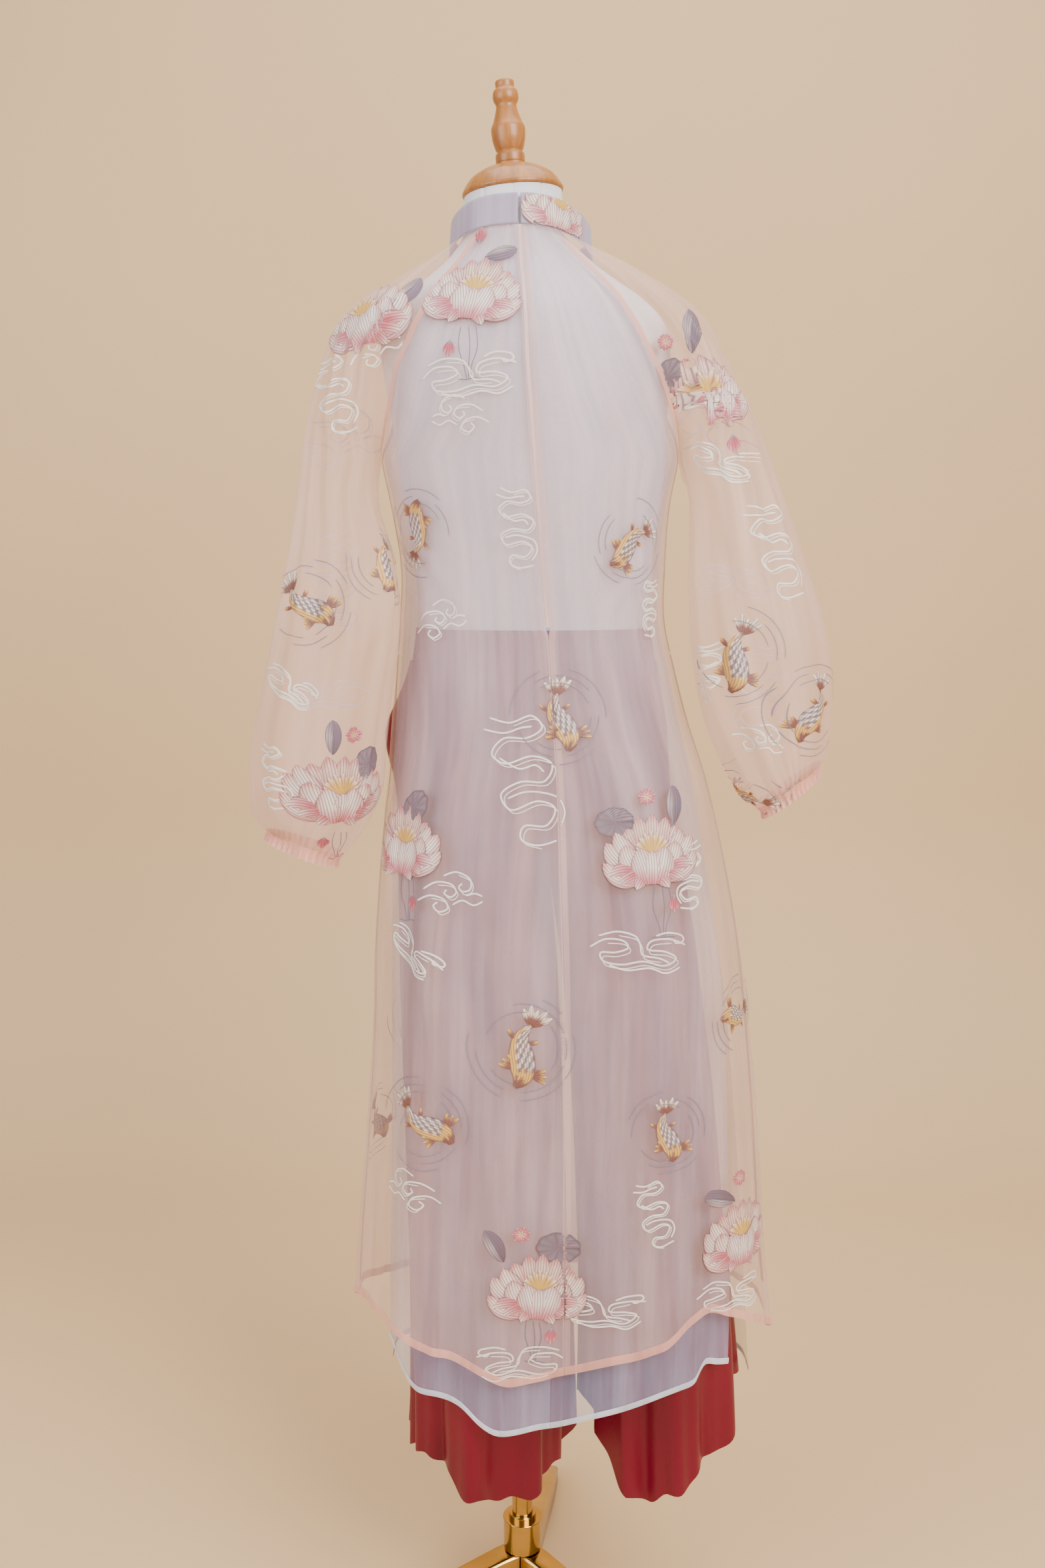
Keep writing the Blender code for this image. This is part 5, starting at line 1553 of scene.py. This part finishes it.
class Sewing:
    """Stitched patches gathered on one piece of cloth."""

    def __init__(self, tree, seed):
        self.tree = tree
        self.random = np.random.default_rng(seed)
        self.bm = bmesh.new()
        self.flat = self.bm.verts.layers.float_vector.new("flat")
        self.thread = self.bm.verts.layers.float_color.new("thread")
        self.layer = 0

    def start(self, centre, normal, turn, flip, size):
        """Lays the plane of a motif on the cloth. Its lengths are shares of `size`."""
        right = Vector((0, 0, 1)).cross(normal).normalized()
        up = normal.cross(right)
        self.right = right * cos(turn) + up * sin(turn)
        self.up = up * cos(turn) - right * sin(turn)
        self.centre, self.normal, self.flip, self.size = centre, normal, flip, size
        self.layer = 0

    def drop(self, x, y, height):
        start = self.centre + self.right * x + self.up * y + self.normal * DROP_REACH
        place, normal, _, _ = self.tree.ray_cast(start, -self.normal, 2 * DROP_REACH)
        if place is None:
            return None
        if normal.dot(self.normal) < 0:
            normal = -normal
        return place + normal * height if normal.dot(self.normal) > 0.25 else None

    def patch(self, flat, heights, colours, uv):
        if self.flip:
            flat = flat * np.array([-1, 1])
            flat, heights, colours, uv = (a[:, ::-1] for a in (flat, heights, colours, uv))
        rows, columns = heights.shape
        made = bmesh.ops.create_grid(self.bm, x_segments=columns - 1, y_segments=rows - 1, size=1)["verts"]
        flat, colours, uv = flat.reshape(-1, 2), colours.reshape(-1, 3), uv.reshape(-1, 2)
        missed = []
        lift = STITCH_LIFT + self.layer * LAYER_LIFT
        for vert, (x, y), height, colour, place in zip(made, flat, heights.ravel(), colours, uv):
            found = self.drop(x * self.size, y * self.size, lift + height)
            if found is None:
                missed.append(vert)
                continue
            vert.co = found
            vert[self.thread] = (*colour, 1)
            vert[self.flat] = (*place, 0)
        bmesh.ops.delete(self.bm, geom=missed, context="VERTS")
        self.layer += 1

    def stitched(self, spine, halves, stops, edge=None, dome=0.28 * MM, jitter=0.10, shares=PETAL_SHARES,
                 paint=None):
        """A patch of stitches along a curve, its sides `halves` away, coloured by its length."""
        spine, halves = np.asarray(spine, float), np.asarray(halves, float)
        flat = ribbon(spine, halves, shares)
        steps = np.linalg.norm(np.diff(spine, axis=0), axis=1)
        along = np.concatenate([[0], steps.cumsum()])
        t = along / along[-1]
        wobble = self.random.uniform(-0.07, 0.07, len(shares))
        grid = np.clip(t[:, None] + wobble[None, :], 0, 1)
        colours = blend(stops, grid)
        if paint:
            colours = paint(t, shares, colours)
        colours = colours * (1 + self.random.uniform(-jitter, jitter, (1, len(shares), 1)))
        if edge is not None:
            colours[:, [0, -1]] = edge
        heights = dome * (1 - shares[None, :] ** 2) * np.ones((len(t), 1))
        uv = np.stack([halves[:, None] * shares[None, :], along[:, None] * np.ones((1, len(shares)))], -1)
        self.patch(flat, heights, np.clip(colours, 0, 1), uv * self.size)

    def petal(self, base, tip, width, stops, edge=None, bend=0.0, fullness=1.35, rows=14, roundness=0.55,
              rim=None):
        base, tip = np.array(base, float), np.array(tip, float)
        t = np.linspace(0, 1, rows)
        line = tip - base
        side = np.array([line[1], -line[0]])
        spine = base + line * t[:, None] + side * (4 * bend * t * (1 - t))[:, None]
        halves = width / 2 * (np.sin(pi * t**fullness) ** roundness + 0.16 * (1 - t))
        blush = None
        if rim is not None:
            def blush(along, shares, colours):
                return colours + (rim - colours) * (0.9 * np.abs(shares) ** 1.4)[None, :, None]
        self.stitched(spine, halves, stops, edge, paint=blush)

    def cord(self, points, width, colour, per_span=5, jitter=0.05):
        spine = smooth_rows(np.array(points, float), [per_span] * (len(points) - 1))
        halves = np.full(len(spine), width / 2 * MM / self.size)
        halves[[0, -1]] *= 0.4
        self.stitched(spine, halves, [(0, colour), (1, colour)], None, width * 0.3 * MM, jitter, CORD_SHARES)

    def finish(self, name):
        uv = self.bm.loops.layers.uv.new("UVMap")
        for face in self.bm.faces:
            for loop in face.loops:
                loop[uv].uv = loop.vert[self.flat].xy
        self.bm.verts.layers.float_vector.remove(self.flat)
        obj = new_object(name, self.bm, found_material("silk floss", embroidery_thread))
        return finished(obj, "embroidered organza")


class Threads:
    """The thread colours of the settings, and their mixtures."""

    def __init__(self, settings):
        self.white, self.pink = np.array(settings.white), np.array(settings.pink)
        self.yellow, self.grey = np.array(settings.yellow), np.array(settings.grey)
        self.brown = np.array(settings.brown)
        self.rose = self.white * 0.33 + self.pink * 0.67
        self.dark = self.grey * 0.35 + self.brown * 0.1
        self.lilac = self.grey * 0.55 + self.white * 0.35
        self.cream = self.white * 0.7 + self.yellow * 0.3


def draw_lotus(sewing, c):
    """An open lotus, as wide as 1: petals from the back ones to the cupped and drooping front ones."""
    line = c.brown * 0.35 + c.pink * 0.12
    deep, blush = c.pink * 0.9, c.rose * 0.9
    back = [(0, deep), (0.4, c.rose), (0.75, c.cream * 0.92), (1, c.pink)]
    side = [(0, deep), (0.35, c.rose), (0.65, c.white), (0.88, c.cream), (1, c.pink)]
    cup = [(0, c.pink), (0.22, c.rose), (0.5, c.white), (0.85, c.white * 0.92), (1, c.rose)]
    for x, y, width in ((-0.24, 0.38, 0.20), (0.32, 0.34, 0.20), (-0.09, 0.46, 0.20), (0.20, 0.43, 0.20),
                        (0.06, 0.48, 0.18)):
        sewing.petal((x * 0.4, 0.02), (x, y), width, back, line, 0.0, 1.1, 14, 0.75, blush)
    for x, y, width, bend in ((-0.44, 0.24, 0.22, -0.14), (0.45, 0.24, 0.22, 0.14),
                              (-0.34, 0.33, 0.20, -0.08), (0.36, 0.30, 0.18, 0.08)):
        sewing.petal((x * 0.20, -0.06), (x, y), width, side, line, bend, 1.2, 14, 0.7, blush)
    stamen = [(0, c.yellow * 0.8), (0.6, c.yellow), (1, c.cream)]
    for k in range(15):
        angle = pi * (0.04 + 0.92 * k / 14)
        reach = 0.13 + 0.04 * (k % 2)
        sewing.petal((0.03 + 0.03 * cos(angle), 0.10), (0.03 + 0.17 * cos(angle), 0.14 + reach * sin(angle)),
                     0.055, stamen, c.yellow * 0.55)
    for x, y, width, bend in ((-0.49, 0.05, 0.18, -0.18), (0.49, 0.08, 0.18, 0.18),
                              (-0.25, 0.20, 0.24, -0.14), (0.28, 0.19, 0.24, 0.14)):
        sewing.petal((x * 0.12, -0.14), (x, y), width, side, line, bend, 1.15, 14, 0.7, blush)
    low = [(0, deep), (0.4, c.pink), (0.7, c.rose), (1, c.white)]
    for x, y, width, bend in ((-0.45, -0.08, 0.14, 0.10), (0.45, -0.06, 0.14, -0.10),
                              (-0.34, -0.17, 0.13, 0.08), (0.32, -0.18, 0.13, -0.08),
                              (-0.17, -0.25, 0.12, 0.04), (0.16, -0.26, 0.12, -0.04)):
        sewing.petal((x * 0.25, -0.08), (x, y), width, low, line, bend, 1.2, 14, 0.7, blush)
    for x, y, width in ((-0.12, 0.15, 0.26), (0.16, 0.14, 0.26), (0.02, 0.11, 0.27)):
        sewing.petal((x * 0.3, -0.21), (x, y), width, cup, line, 0.02, 1.1, 16, 0.72, blush)


def draw_bud(sewing, c):
    """A closed bud on a short calyx, as high as 1."""
    colours = [(0, c.pink * 0.9), (0.6, c.pink), (1, c.rose)]
    for x, tip in ((-0.28, 0.72), (0.28, 0.72), (0.0, 0.95)):
        sewing.petal((x * 0.2, -0.05), (x, tip), 0.42, colours, c.pink * 0.55)
    sewing.petal((0, -0.2), (0, 0.2), 0.24, [(0, c.lilac), (1, c.grey)])


def draw_bloom(sewing, c):
    """A small open bloom from above, as wide as 1."""
    colours = [(0, c.yellow), (0.3, c.rose), (0.7, c.pink), (1, c.rose)]
    for k in range(7):
        angle = FULL_TURN * k / 7 + 0.3
        sewing.petal((0.03 * cos(angle), 0.03 * sin(angle)), (0.5 * cos(angle), 0.46 * sin(angle)), 0.3,
                     colours, c.pink * 0.6)
    sewing.petal((-0.09, 0), (0.09, 0), 0.18, [(0, c.yellow), (1, c.yellow)])


def draw_leaf(sewing, c):
    """A round lotus leaf with radial veins, as wide as 1."""
    turns = np.linspace(FULL_TURN, 0, 41)
    radii = np.linspace(0.02, 1, 7)
    rim = 0.5 * (1 + 0.07 * np.abs(np.sin(turns * 4.5)) - 0.10 * np.exp(-((turns - 4.4) ** 2) / 0.02))
    reach = radii[:, None] * rim[None, :]
    flat = np.stack([reach * np.cos(turns), reach * np.sin(turns) * 0.72], -1)
    veins = np.abs(np.sin(turns * 5.5)) ** 0.5
    light = c.lilac * 0.9
    colours = c.dark + (c.grey - c.dark) * veins[None, :, None] * np.ones((7, 1, 1))
    colours = colours + (light - colours) * (0.30 * radii[:, None, None] * veins[None, :, None])
    colours *= 1 + sewing.random.uniform(-0.12, 0.12, (1, 41, 1))
    colours[-1] = c.dark
    heights = 0.4 * MM * (1 - radii[:, None] ** 4) * np.ones((1, 41))
    uv = np.stack([(turns * 0.5)[None, :] * reach, reach], -1) * sewing.size
    sewing.patch(flat, heights, np.clip(colours, 0, 1), uv)
    sewing.petal((-0.05, 0), (0.05, 0), 0.1, [(0, c.brown * 1.5), (1, c.yellow)])


def draw_folded_leaf(sewing, c):
    """A leaf seen from its side, folded along its rib, as long as 1."""
    light = [(0, c.grey), (0.5, c.lilac), (1, c.grey)]
    dark = [(0, c.dark), (0.5, c.grey * 0.85), (1, c.grey)]
    sewing.petal((-0.5, -0.04), (0.5, 0.06), 0.34, dark, c.dark, 0.10)
    sewing.petal((-0.46, 0.0), (0.48, 0.06), 0.24, light, c.dark, -0.06)
    sewing.cord([(-0.5, -0.02), (0.0, 0.05), (0.5, 0.06)], 0.7, c.lilac)


def draw_koi(sewing, c):
    """A carp swimming upward, as long as 1, with its fins and the rings in the water round it."""
    t = np.linspace(0, 1, 30)
    spine = np.stack([0.10 * np.sin(t * 5.0 + 0.5) - 0.05, -0.30 + 0.76 * t], -1)
    halves = 0.155 * (0.15 + 0.85 * np.sin(pi * np.clip(t, 0, 0.985) ** 1.35) ** 0.8)
    tail, head = spine[0], spine[21]
    fin = [(0, c.brown), (0.55, c.brown * 1.1), (0.85, c.yellow), (1, c.yellow)]
    for x, y in ((-0.19, -0.18), (-0.11, -0.24), (0.0, -0.20), (0.10, -0.23), (0.17, -0.15)):
        sewing.petal(tail + np.array([x * 0.05, 0.02]), tail + np.array([x, y]), 0.07,
                     [(0, c.brown), (0.45, c.brown), (0.65, c.cream), (1, c.white)], c.brown * 0.5)
    for side in (-1, 1):
        for x, y in ((0.27, 0.03), (0.25, -0.05), (0.20, -0.12)):
            root = head + np.array([side * 0.08, 0.0])
            sewing.petal(root, root + np.array([side * x * 0.85, y]), 0.06, fin, c.brown * 0.6)
        low = spine[9] + np.array([side * 0.07, 0])
        sewing.petal(low, low + np.array([side * 0.13, -0.09]), 0.055, fin, c.brown * 0.6)

    def scales(along, shares, colours):
        rows = (np.arange(len(along)) // 2)[:, None]
        cells = (rows + np.arange(len(shares))[None, :]) % 2
        body = ((along > 0.10) & (along < 0.74))[:, None]
        dark = c.grey + (c.dark - c.grey) * (1 - np.abs(shares))[None, :, None]
        colours = np.where((body & (cells == 1))[..., None], dark, colours)
        rim = body & (np.abs(shares) > 0.5)[None, :] & (shares > 0)[None, :]
        return np.where(rim[..., None], c.yellow, colours)

    stops = [(0, c.brown), (0.10, c.cream), (0.68, c.white * 0.9), (0.74, c.yellow), (0.86, c.yellow),
             (0.90, c.brown), (1.0, c.brown * 0.8)]
    sewing.stitched(spine, halves, stops, c.brown * 0.55, 0.9 * MM, 0.05, PETAL_SHARES, scales)
    sewing.petal(spine[10], spine[20], 0.05, [(0, c.brown), (1, c.yellow)], c.brown * 0.6)
    for side in (-1, 1):
        eye = spine[25] + np.array([side * 0.045, 0])
        sewing.petal(eye - np.array([0, 0.014]), eye + np.array([0, 0.014]), 0.026,
                     [(0, c.dark * 0.5), (1, c.dark * 0.5)])
    for radius in (0.44, 0.54, 0.64):
        angle = sewing.random.uniform(0, 1.5)
        for _ in range(3):
            sweep = sewing.random.uniform(0.9, 1.5)
            turns = np.linspace(angle, angle + sweep, 9)
            points = np.stack([radius * np.cos(turns), radius * np.sin(turns)], -1)
            sewing.cord(points, 0.8, c.grey * 0.8 + c.lilac * 0.2, 2)
            angle += sweep + sewing.random.uniform(0.35, 0.8)


# Cloud bands, as lines of points in a box from -1 to 1
CLOUDS = {
    "wide": (
        ((-1.0, 0.0), (-0.72, 0.22), (-0.35, 0.20), (-0.22, 0.02), (-0.48, -0.10), (-0.78, -0.12),
         (-0.70, -0.34), (-0.30, -0.40), (0.12, -0.30), (0.55, -0.38), (0.80, -0.18), (0.55, -0.02),
         (0.20, 0.0), (0.26, 0.22), (0.62, 0.30), (1.0, 0.16)),
        ((-0.86, 0.30), (-0.50, 0.42), (-0.12, 0.34), (0.02, 0.14), (0.10, -0.14), (0.45, -0.20),
         (0.66, -0.30)),
        ((0.34, 0.36), (0.58, 0.46), (0.88, 0.40), (0.94, 0.26), (0.78, 0.20), (0.70, 0.30)),
        ((-0.60, -0.42), (-0.20, -0.54), (0.26, -0.46), (0.60, -0.56), (0.90, -0.40)),
    ),
    "tall": (
        ((-0.55, 1.0), (-0.15, 0.88), (0.30, 0.94), (0.48, 0.74), (0.15, 0.62), (-0.32, 0.66),
         (-0.60, 0.46), (-0.34, 0.28), (0.20, 0.34), (0.58, 0.18), (0.38, -0.06), (-0.10, -0.02),
         (-0.52, -0.16), (-0.36, -0.42), (0.18, -0.34), (0.52, -0.48), (0.30, -0.72), (-0.14, -0.68),
         (-0.24, -0.88), (0.10, -1.0), (0.60, -0.94)),
        ((-0.70, 0.84), (-0.30, 0.74), (0.05, 0.78), (0.28, 0.78)),
        ((-0.46, 0.38), (-0.10, 0.18), (0.24, 0.20), (0.40, 0.08)),
        ((-0.40, -0.24), (-0.06, -0.18), (0.30, -0.22), (0.62, -0.34), (0.70, -0.58), (0.52, -0.82)),
    ),
    "curled": (
        ((-1.0, -0.30), (-0.60, -0.10), (-0.20, -0.20), (-0.05, -0.48), (-0.30, -0.62), (-0.48, -0.44),
         (-0.36, -0.30)),
        ((-0.80, 0.10), (-0.42, 0.34), (0.02, 0.30), (0.20, 0.06), (0.04, -0.12), (-0.16, -0.02),
         (-0.10, 0.12)),
        ((-0.20, 0.56), (0.20, 0.70), (0.60, 0.50), (0.62, 0.18), (0.40, 0.08), (0.28, 0.22), (0.38, 0.34)),
        ((0.10, -0.36), (0.40, -0.20), (0.72, -0.34), (1.0, -0.20)),
        ((0.50, -0.04), (0.76, 0.04), (0.98, -0.04)),
    ),
}


def draw_cloud(kind, height):
    def draw(sewing, c):
        for points in CLOUDS[kind]:
            line = np.array(points) * np.array([0.5, 0.5 * height])
            sewing.cord(line, 1.9, c.white, 6)
            if len(points) > 6:
                sewing.cord(line[1:-1] + np.array([0.028, -0.040]), 1.1, c.white * 0.92, 6)

    return draw


def draw_stems(sewing, c):
    """Three thin stems down to a short line of water, as high as 1."""
    for x, foot, sway in ((-0.16, -0.02, -0.06), (0.0, 0.02, 0.04), (0.14, 0.06, 0.08)):
        sewing.cord([(x, 0.5), (x * 0.8 + sway, 0.1), (x * 0.3 + sway * 0.5, -0.25), (foot, -0.5)], 0.75,
                    c.grey)
    sewing.cord([(-0.22, -0.50), (-0.05, -0.52), (0.12, -0.49), (0.26, -0.51)], 0.9, c.grey)


MOTIF_KINDS = {
    "lotus": draw_lotus, "bud": draw_bud, "bloom": draw_bloom, "leaf": draw_leaf,
    "folded": draw_folded_leaf, "koi": draw_koi, "stems": draw_stems, "wide": draw_cloud("wide", 0.8),
    "tall": draw_cloud("tall", 1.35), "curled": draw_cloud("curled", 0.9),
}
BACK = ("back_left", "back_right")
FRONT, COLLAR = ("front",), ("collar",)
LEFT_SLEEVE, RIGHT_SLEEVE = ("sleeve_left",), ("sleeve_right",)

# A motif seen in the photographed frame: its middle in pixels, its size and its turn in degrees
Motif = namedtuple("Motif", "kind pieces x y size turn flip", defaults=(False,))
SEEN_MOTIFS = table(Motif, (
    ("lotus", BACK, 706, 448, 0.106, -6), ("folded", BACK, 752, 379, 0.034, 10),
    ("bud", BACK, 720, 362, 0.017, 0), ("bud", BACK, 675, 514, 0.015, 170),
    ("stems", BACK, 702, 528, 0.052, 0), ("wide", BACK, 702, 560, 0.100, 4),
    ("curled", BACK, 690, 622, 0.062, 0, True), ("lotus", LEFT_SLEEVE, 548, 484, 0.106, 14, True),
    ("bud", LEFT_SLEEVE, 508, 513, 0.017, 20), ("folded", LEFT_SLEEVE, 612, 436, 0.040, 40),
    ("tall", LEFT_SLEEVE, 500, 590, 0.062, 10), ("curled", LEFT_SLEEVE, 560, 520, 0.060, 30),
    ("lotus", RIGHT_SLEEVE, 1062, 604, 0.106, 8), ("leaf", RIGHT_SLEEVE, 1002, 566, 0.040, 60),
    ("folded", RIGHT_SLEEVE, 1036, 496, 0.046, 84), ("bloom", RIGHT_SLEEVE, 998, 513, 0.019, 0),
    ("bud", RIGHT_SLEEVE, 1100, 656, 0.017, 190), ("wide", RIGHT_SLEEVE, 1078, 690, 0.074, -20),
    ("lotus", COLLAR, 836, 324, 0.080, -14), ("bud", COLLAR, 848, 346, 0.015, -30),
    ("tall", BACK, 775, 792, 0.060, 0), ("koi", BACK, 629, 800, 0.072, -24),
    ("koi", LEFT_SLEEVE, 578, 842, 0.070, 150), ("curled", BACK, 660, 930, 0.064, 10),
    ("koi", BACK, 946, 812, 0.070, 118), ("tall", BACK, 976, 912, 0.044, 0, True),
    ("koi", LEFT_SLEEVE, 456, 908, 0.076, 215), ("wide", LEFT_SLEEVE, 432, 1028, 0.070, -30),
    ("tall", LEFT_SLEEVE, 405, 1165, 0.050, 0), ("lotus", LEFT_SLEEVE, 510, 1206, 0.106, 4),
    ("leaf", LEFT_SLEEVE, 552, 1147, 0.038, 70), ("folded", LEFT_SLEEVE, 499, 1106, 0.036, 84),
    ("bloom", LEFT_SLEEVE, 529, 1102, 0.020, 0), ("bud", LEFT_SLEEVE, 486, 1258, 0.016, 170),
    ("stems", LEFT_SLEEVE, 508, 1268, 0.040, 0), ("tall", RIGHT_SLEEVE, 1163, 826, 0.076, 8),
    ("koi", RIGHT_SLEEVE, 1103, 982, 0.080, 160), ("koi", RIGHT_SLEEVE, 1228, 1066, 0.076, 170, True),
    ("tall", RIGHT_SLEEVE, 1056, 1012, 0.048, 0, True), ("curled", RIGHT_SLEEVE, 1140, 1110, 0.056, -20),
    ("koi", RIGHT_SLEEVE, 1120, 1196, 0.066, 70), ("koi", BACK, 837, 1074, 0.078, 182),
    ("tall", BACK, 788, 1170, 0.102, 8), ("lotus", BACK, 604, 1278, 0.106, 0),
    ("leaf", BACK, 622, 1212, 0.042, 50), ("bud", BACK, 620, 1345, 0.017, 176),
    ("stems", BACK, 612, 1344, 0.050, 4), ("curled", BACK, 675, 1340, 0.072, 0),
    ("wide", BACK, 618, 1424, 0.074, -34), ("lotus", BACK, 976, 1294, 0.106, 4),
    ("leaf", BACK, 923, 1234, 0.042, 0), ("folded", BACK, 1010, 1206, 0.040, 78),
    ("bloom", BACK, 970, 1195, 0.020, 0), ("bud", BACK, 1011, 1347, 0.016, 176),
    ("stems", BACK, 994, 1368, 0.052, 0), ("wide", BACK, 958, 1424, 0.104, -6),
    ("tall", BACK, 1036, 1312, 0.052, 0, True), ("koi", BACK, 782, 1572, 0.088, 156),
    ("koi", BACK, 632, 1686, 0.080, 226), ("koi", BACK, 997, 1698, 0.070, 178),
    ("curled", BACK, 612, 1786, 0.070, 0, True), ("tall", BACK, 982, 1822, 0.056, 10),
    ("koi", BACK, 1106, 1524, 0.070, 100, True), ("lotus", BACK, 806, 1948, 0.106, 0),
    ("folded", BACK, 741, 1870, 0.040, 115), ("leaf", BACK, 838, 1872, 0.046, 0),
    ("bloom", BACK, 782, 1852, 0.020, 0), ("bud", BACK, 827, 1996, 0.016, 176),
    ("stems", BACK, 800, 2012, 0.046, 0), ("wide", BACK, 902, 1966, 0.090, 0),
    ("wide", BACK, 782, 2040, 0.096, 2, True), ("lotus", BACK, 1112, 1866, 0.106, 4),
    ("folded", BACK, 1080, 1800, 0.042, 160), ("bloom", BACK, 1110, 1766, 0.020, 0),
    ("wide", BACK, 1096, 1938, 0.088, -4), ("koi", FRONT, 562, 1680, 0.070, 200),
))
# A motif that the photo doesn't show: the side it is seen from, how far across that view, and its height
Placed = namedtuple("Placed", "kind pieces turn across z size lean flip", defaults=(False,))
PLACED_MOTIFS = table(Placed, (
    ("lotus", FRONT, 160, 0, 1.405, 0.106, 0), ("leaf", FRONT, 150, 0, 1.452, 0.042, 20),
    ("bloom", FRONT, 165, 0, 1.462, 0.020, 0), ("stems", FRONT, 160, 0, 1.350, 0.050, 0),
    ("wide", FRONT, 158, 0, 1.322, 0.100, 0), ("koi", FRONT, 208, 0, 1.360, 0.078, 150),
    ("tall", FRONT, 222, 0, 1.250, 0.090, 0), ("curled", FRONT, 140, 0, 1.235, 0.070, 0, True),
    ("koi", FRONT, 172, 0, 1.120, 0.084, 200), ("lotus", FRONT, 214, 0, 1.030, 0.106, 0, True),
    ("leaf", FRONT, 226, 0, 1.080, 0.044, 0), ("wide", FRONT, 210, 0, 0.955, 0.104, 0),
    ("tall", FRONT, 146, 0, 0.985, 0.100, 0, True), ("lotus", FRONT, 138, 0, 0.830, 0.106, 0),
    ("folded", FRONT, 128, 0, 0.880, 0.042, 70), ("stems", FRONT, 138, 0, 0.775, 0.050, 0),
    ("koi", FRONT, 190, 0, 0.800, 0.084, 160, True), ("koi", FRONT, 232, 0, 0.730, 0.080, 30),
    ("wide", FRONT, 168, 0, 0.680, 0.104, 0, True), ("curled", FRONT, 220, 0, 0.600, 0.080, 0),
    ("lotus", FRONT, 184, 0, 0.530, 0.106, 0), ("leaf", FRONT, 174, 0, 0.585, 0.046, 0),
    ("bloom", FRONT, 192, 0, 0.590, 0.020, 0), ("wide", FRONT, 182, 0, 0.452, 0.104, 0),
    ("koi", FRONT, 126, 0, 0.560, 0.080, 190), ("curled", LEFT_SLEEVE, 180, 0.205, 1.400, 0.106, 0, True),
    ("tall", LEFT_SLEEVE, 180, 0.210, 1.240, 0.078, 170),
    ("wide", LEFT_SLEEVE, 180, 0.215, 1.120, 0.080, 0),
    ("curled", RIGHT_SLEEVE, 180, -0.215, 1.400, 0.106, 0),
    ("wide", RIGHT_SLEEVE, 180, -0.240, 1.240, 0.078, 190, True),
    ("tall", RIGHT_SLEEVE, 180, -0.270, 1.120, 0.080, 0), ("curled", COLLAR, 205, 0, 1.578, 0.040, 0),
    ("bloom", COLLAR, 160, 0, 1.574, 0.020, 0),
))


class AODAI_OT_embroidery(bpy.types.Operator):
    """Sews the lotus, carp and cloud motifs on the tunic, its sleeves and collar"""

    bl_idname = "aodai.embroidery"
    bl_label = "Embroidery"

    def execute(self, context):
        threads = Threads(context.scene.aodai_thread)
        names = ("back_left", "back_right", "front", "sleeve_left", "sleeve_right", "collar")
        trees = {name: cloth_under(name + "_organza") for name in names}
        work = {name: Sewing(trees[name], seed) for seed, name in enumerate(names)}
        for motif in SEEN_MOTIFS:
            start, direction = pixel_ray(motif.x, motif.y)
            self.sew(work, motif, start, direction, motif.turn, threads)
        for motif in PLACED_MOTIFS:
            turn = radians(motif.turn)
            away = Vector((sin(turn), -cos(turn), 0))
            centre = AXIS + Vector((cos(turn), sin(turn), 0)) * motif.across + Vector((0, 0, motif.z))
            self.sew(work, motif, centre + away, -away, motif.lean, threads)
        for name, sewing in work.items():
            sewing.finish("embroidery_" + name)
        return {"FINISHED"}

    def sew(self, work, motif, start, direction, turn, threads):
        for name in motif.pieces:
            place, normal, _, _ = work[name].tree.ray_cast(start, direction)
            if place is not None:
                break
        else:
            raise RuntimeError(f"no cloth under the {motif.kind} on {motif.pieces}")
        if normal.dot(direction) > 0:
            normal = -normal
        for name in motif.pieces:
            work[name].start(place, normal, radians(turn), motif.flip, motif.size)
            MOTIF_KINDS[motif.kind](work[name], threads)


# ---- Panel in the sidebar ----

OPERATORS = (
    AODAI_OT_stage, AODAI_OT_dress_form, AODAI_OT_topping, AODAI_OT_stand, AODAI_OT_trousers,
    AODAI_OT_slip, AODAI_OT_tunic, AODAI_OT_sleeves, AODAI_OT_collar, AODAI_OT_zip,
    AODAI_OT_embroidery,
)


class AODAI_PT_panel(bpy.types.Panel):
    """Sizes, colours and steps of the garment"""

    bl_idname = "AODAI_PT_panel"
    bl_label = "Ao dai"
    bl_space_type = "VIEW_3D"
    bl_region_type = "UI"
    bl_category = "Ao dai"

    def draw(self, context):
        for group in ("aodai_cloth", "aodai_thread", "aodai_stand", "aodai_stage"):
            settings = getattr(context.scene, group)
            for name in settings.__annotations__:
                self.layout.prop(settings, name)
        for operator in OPERATORS:
            self.layout.operator(operator.bl_idname)


SETTINGS = {
    "aodai_cloth": ClothSettings, "aodai_thread": ThreadSettings, "aodai_stand": StandSettings,
    "aodai_stage": StageSettings,
}


def register():
    for name, group in SETTINGS.items():
        bpy.utils.register_class(group)
        setattr(bpy.types.Scene, name, PointerProperty(type=group))
    for operator in OPERATORS:
        bpy.utils.register_class(operator)
    bpy.utils.register_class(AODAI_PT_panel)


def unregister():
    bpy.utils.unregister_class(AODAI_PT_panel)
    for operator in reversed(OPERATORS):
        bpy.utils.unregister_class(operator)
    for name, group in SETTINGS.items():
        delattr(bpy.types.Scene, name)
        bpy.utils.unregister_class(group)


def main():
    register()
    for operator in OPERATORS:
        group, name = operator.bl_idname.split(".")
        getattr(getattr(bpy.ops, group), name)()


if __name__ == "__main__":
    main()
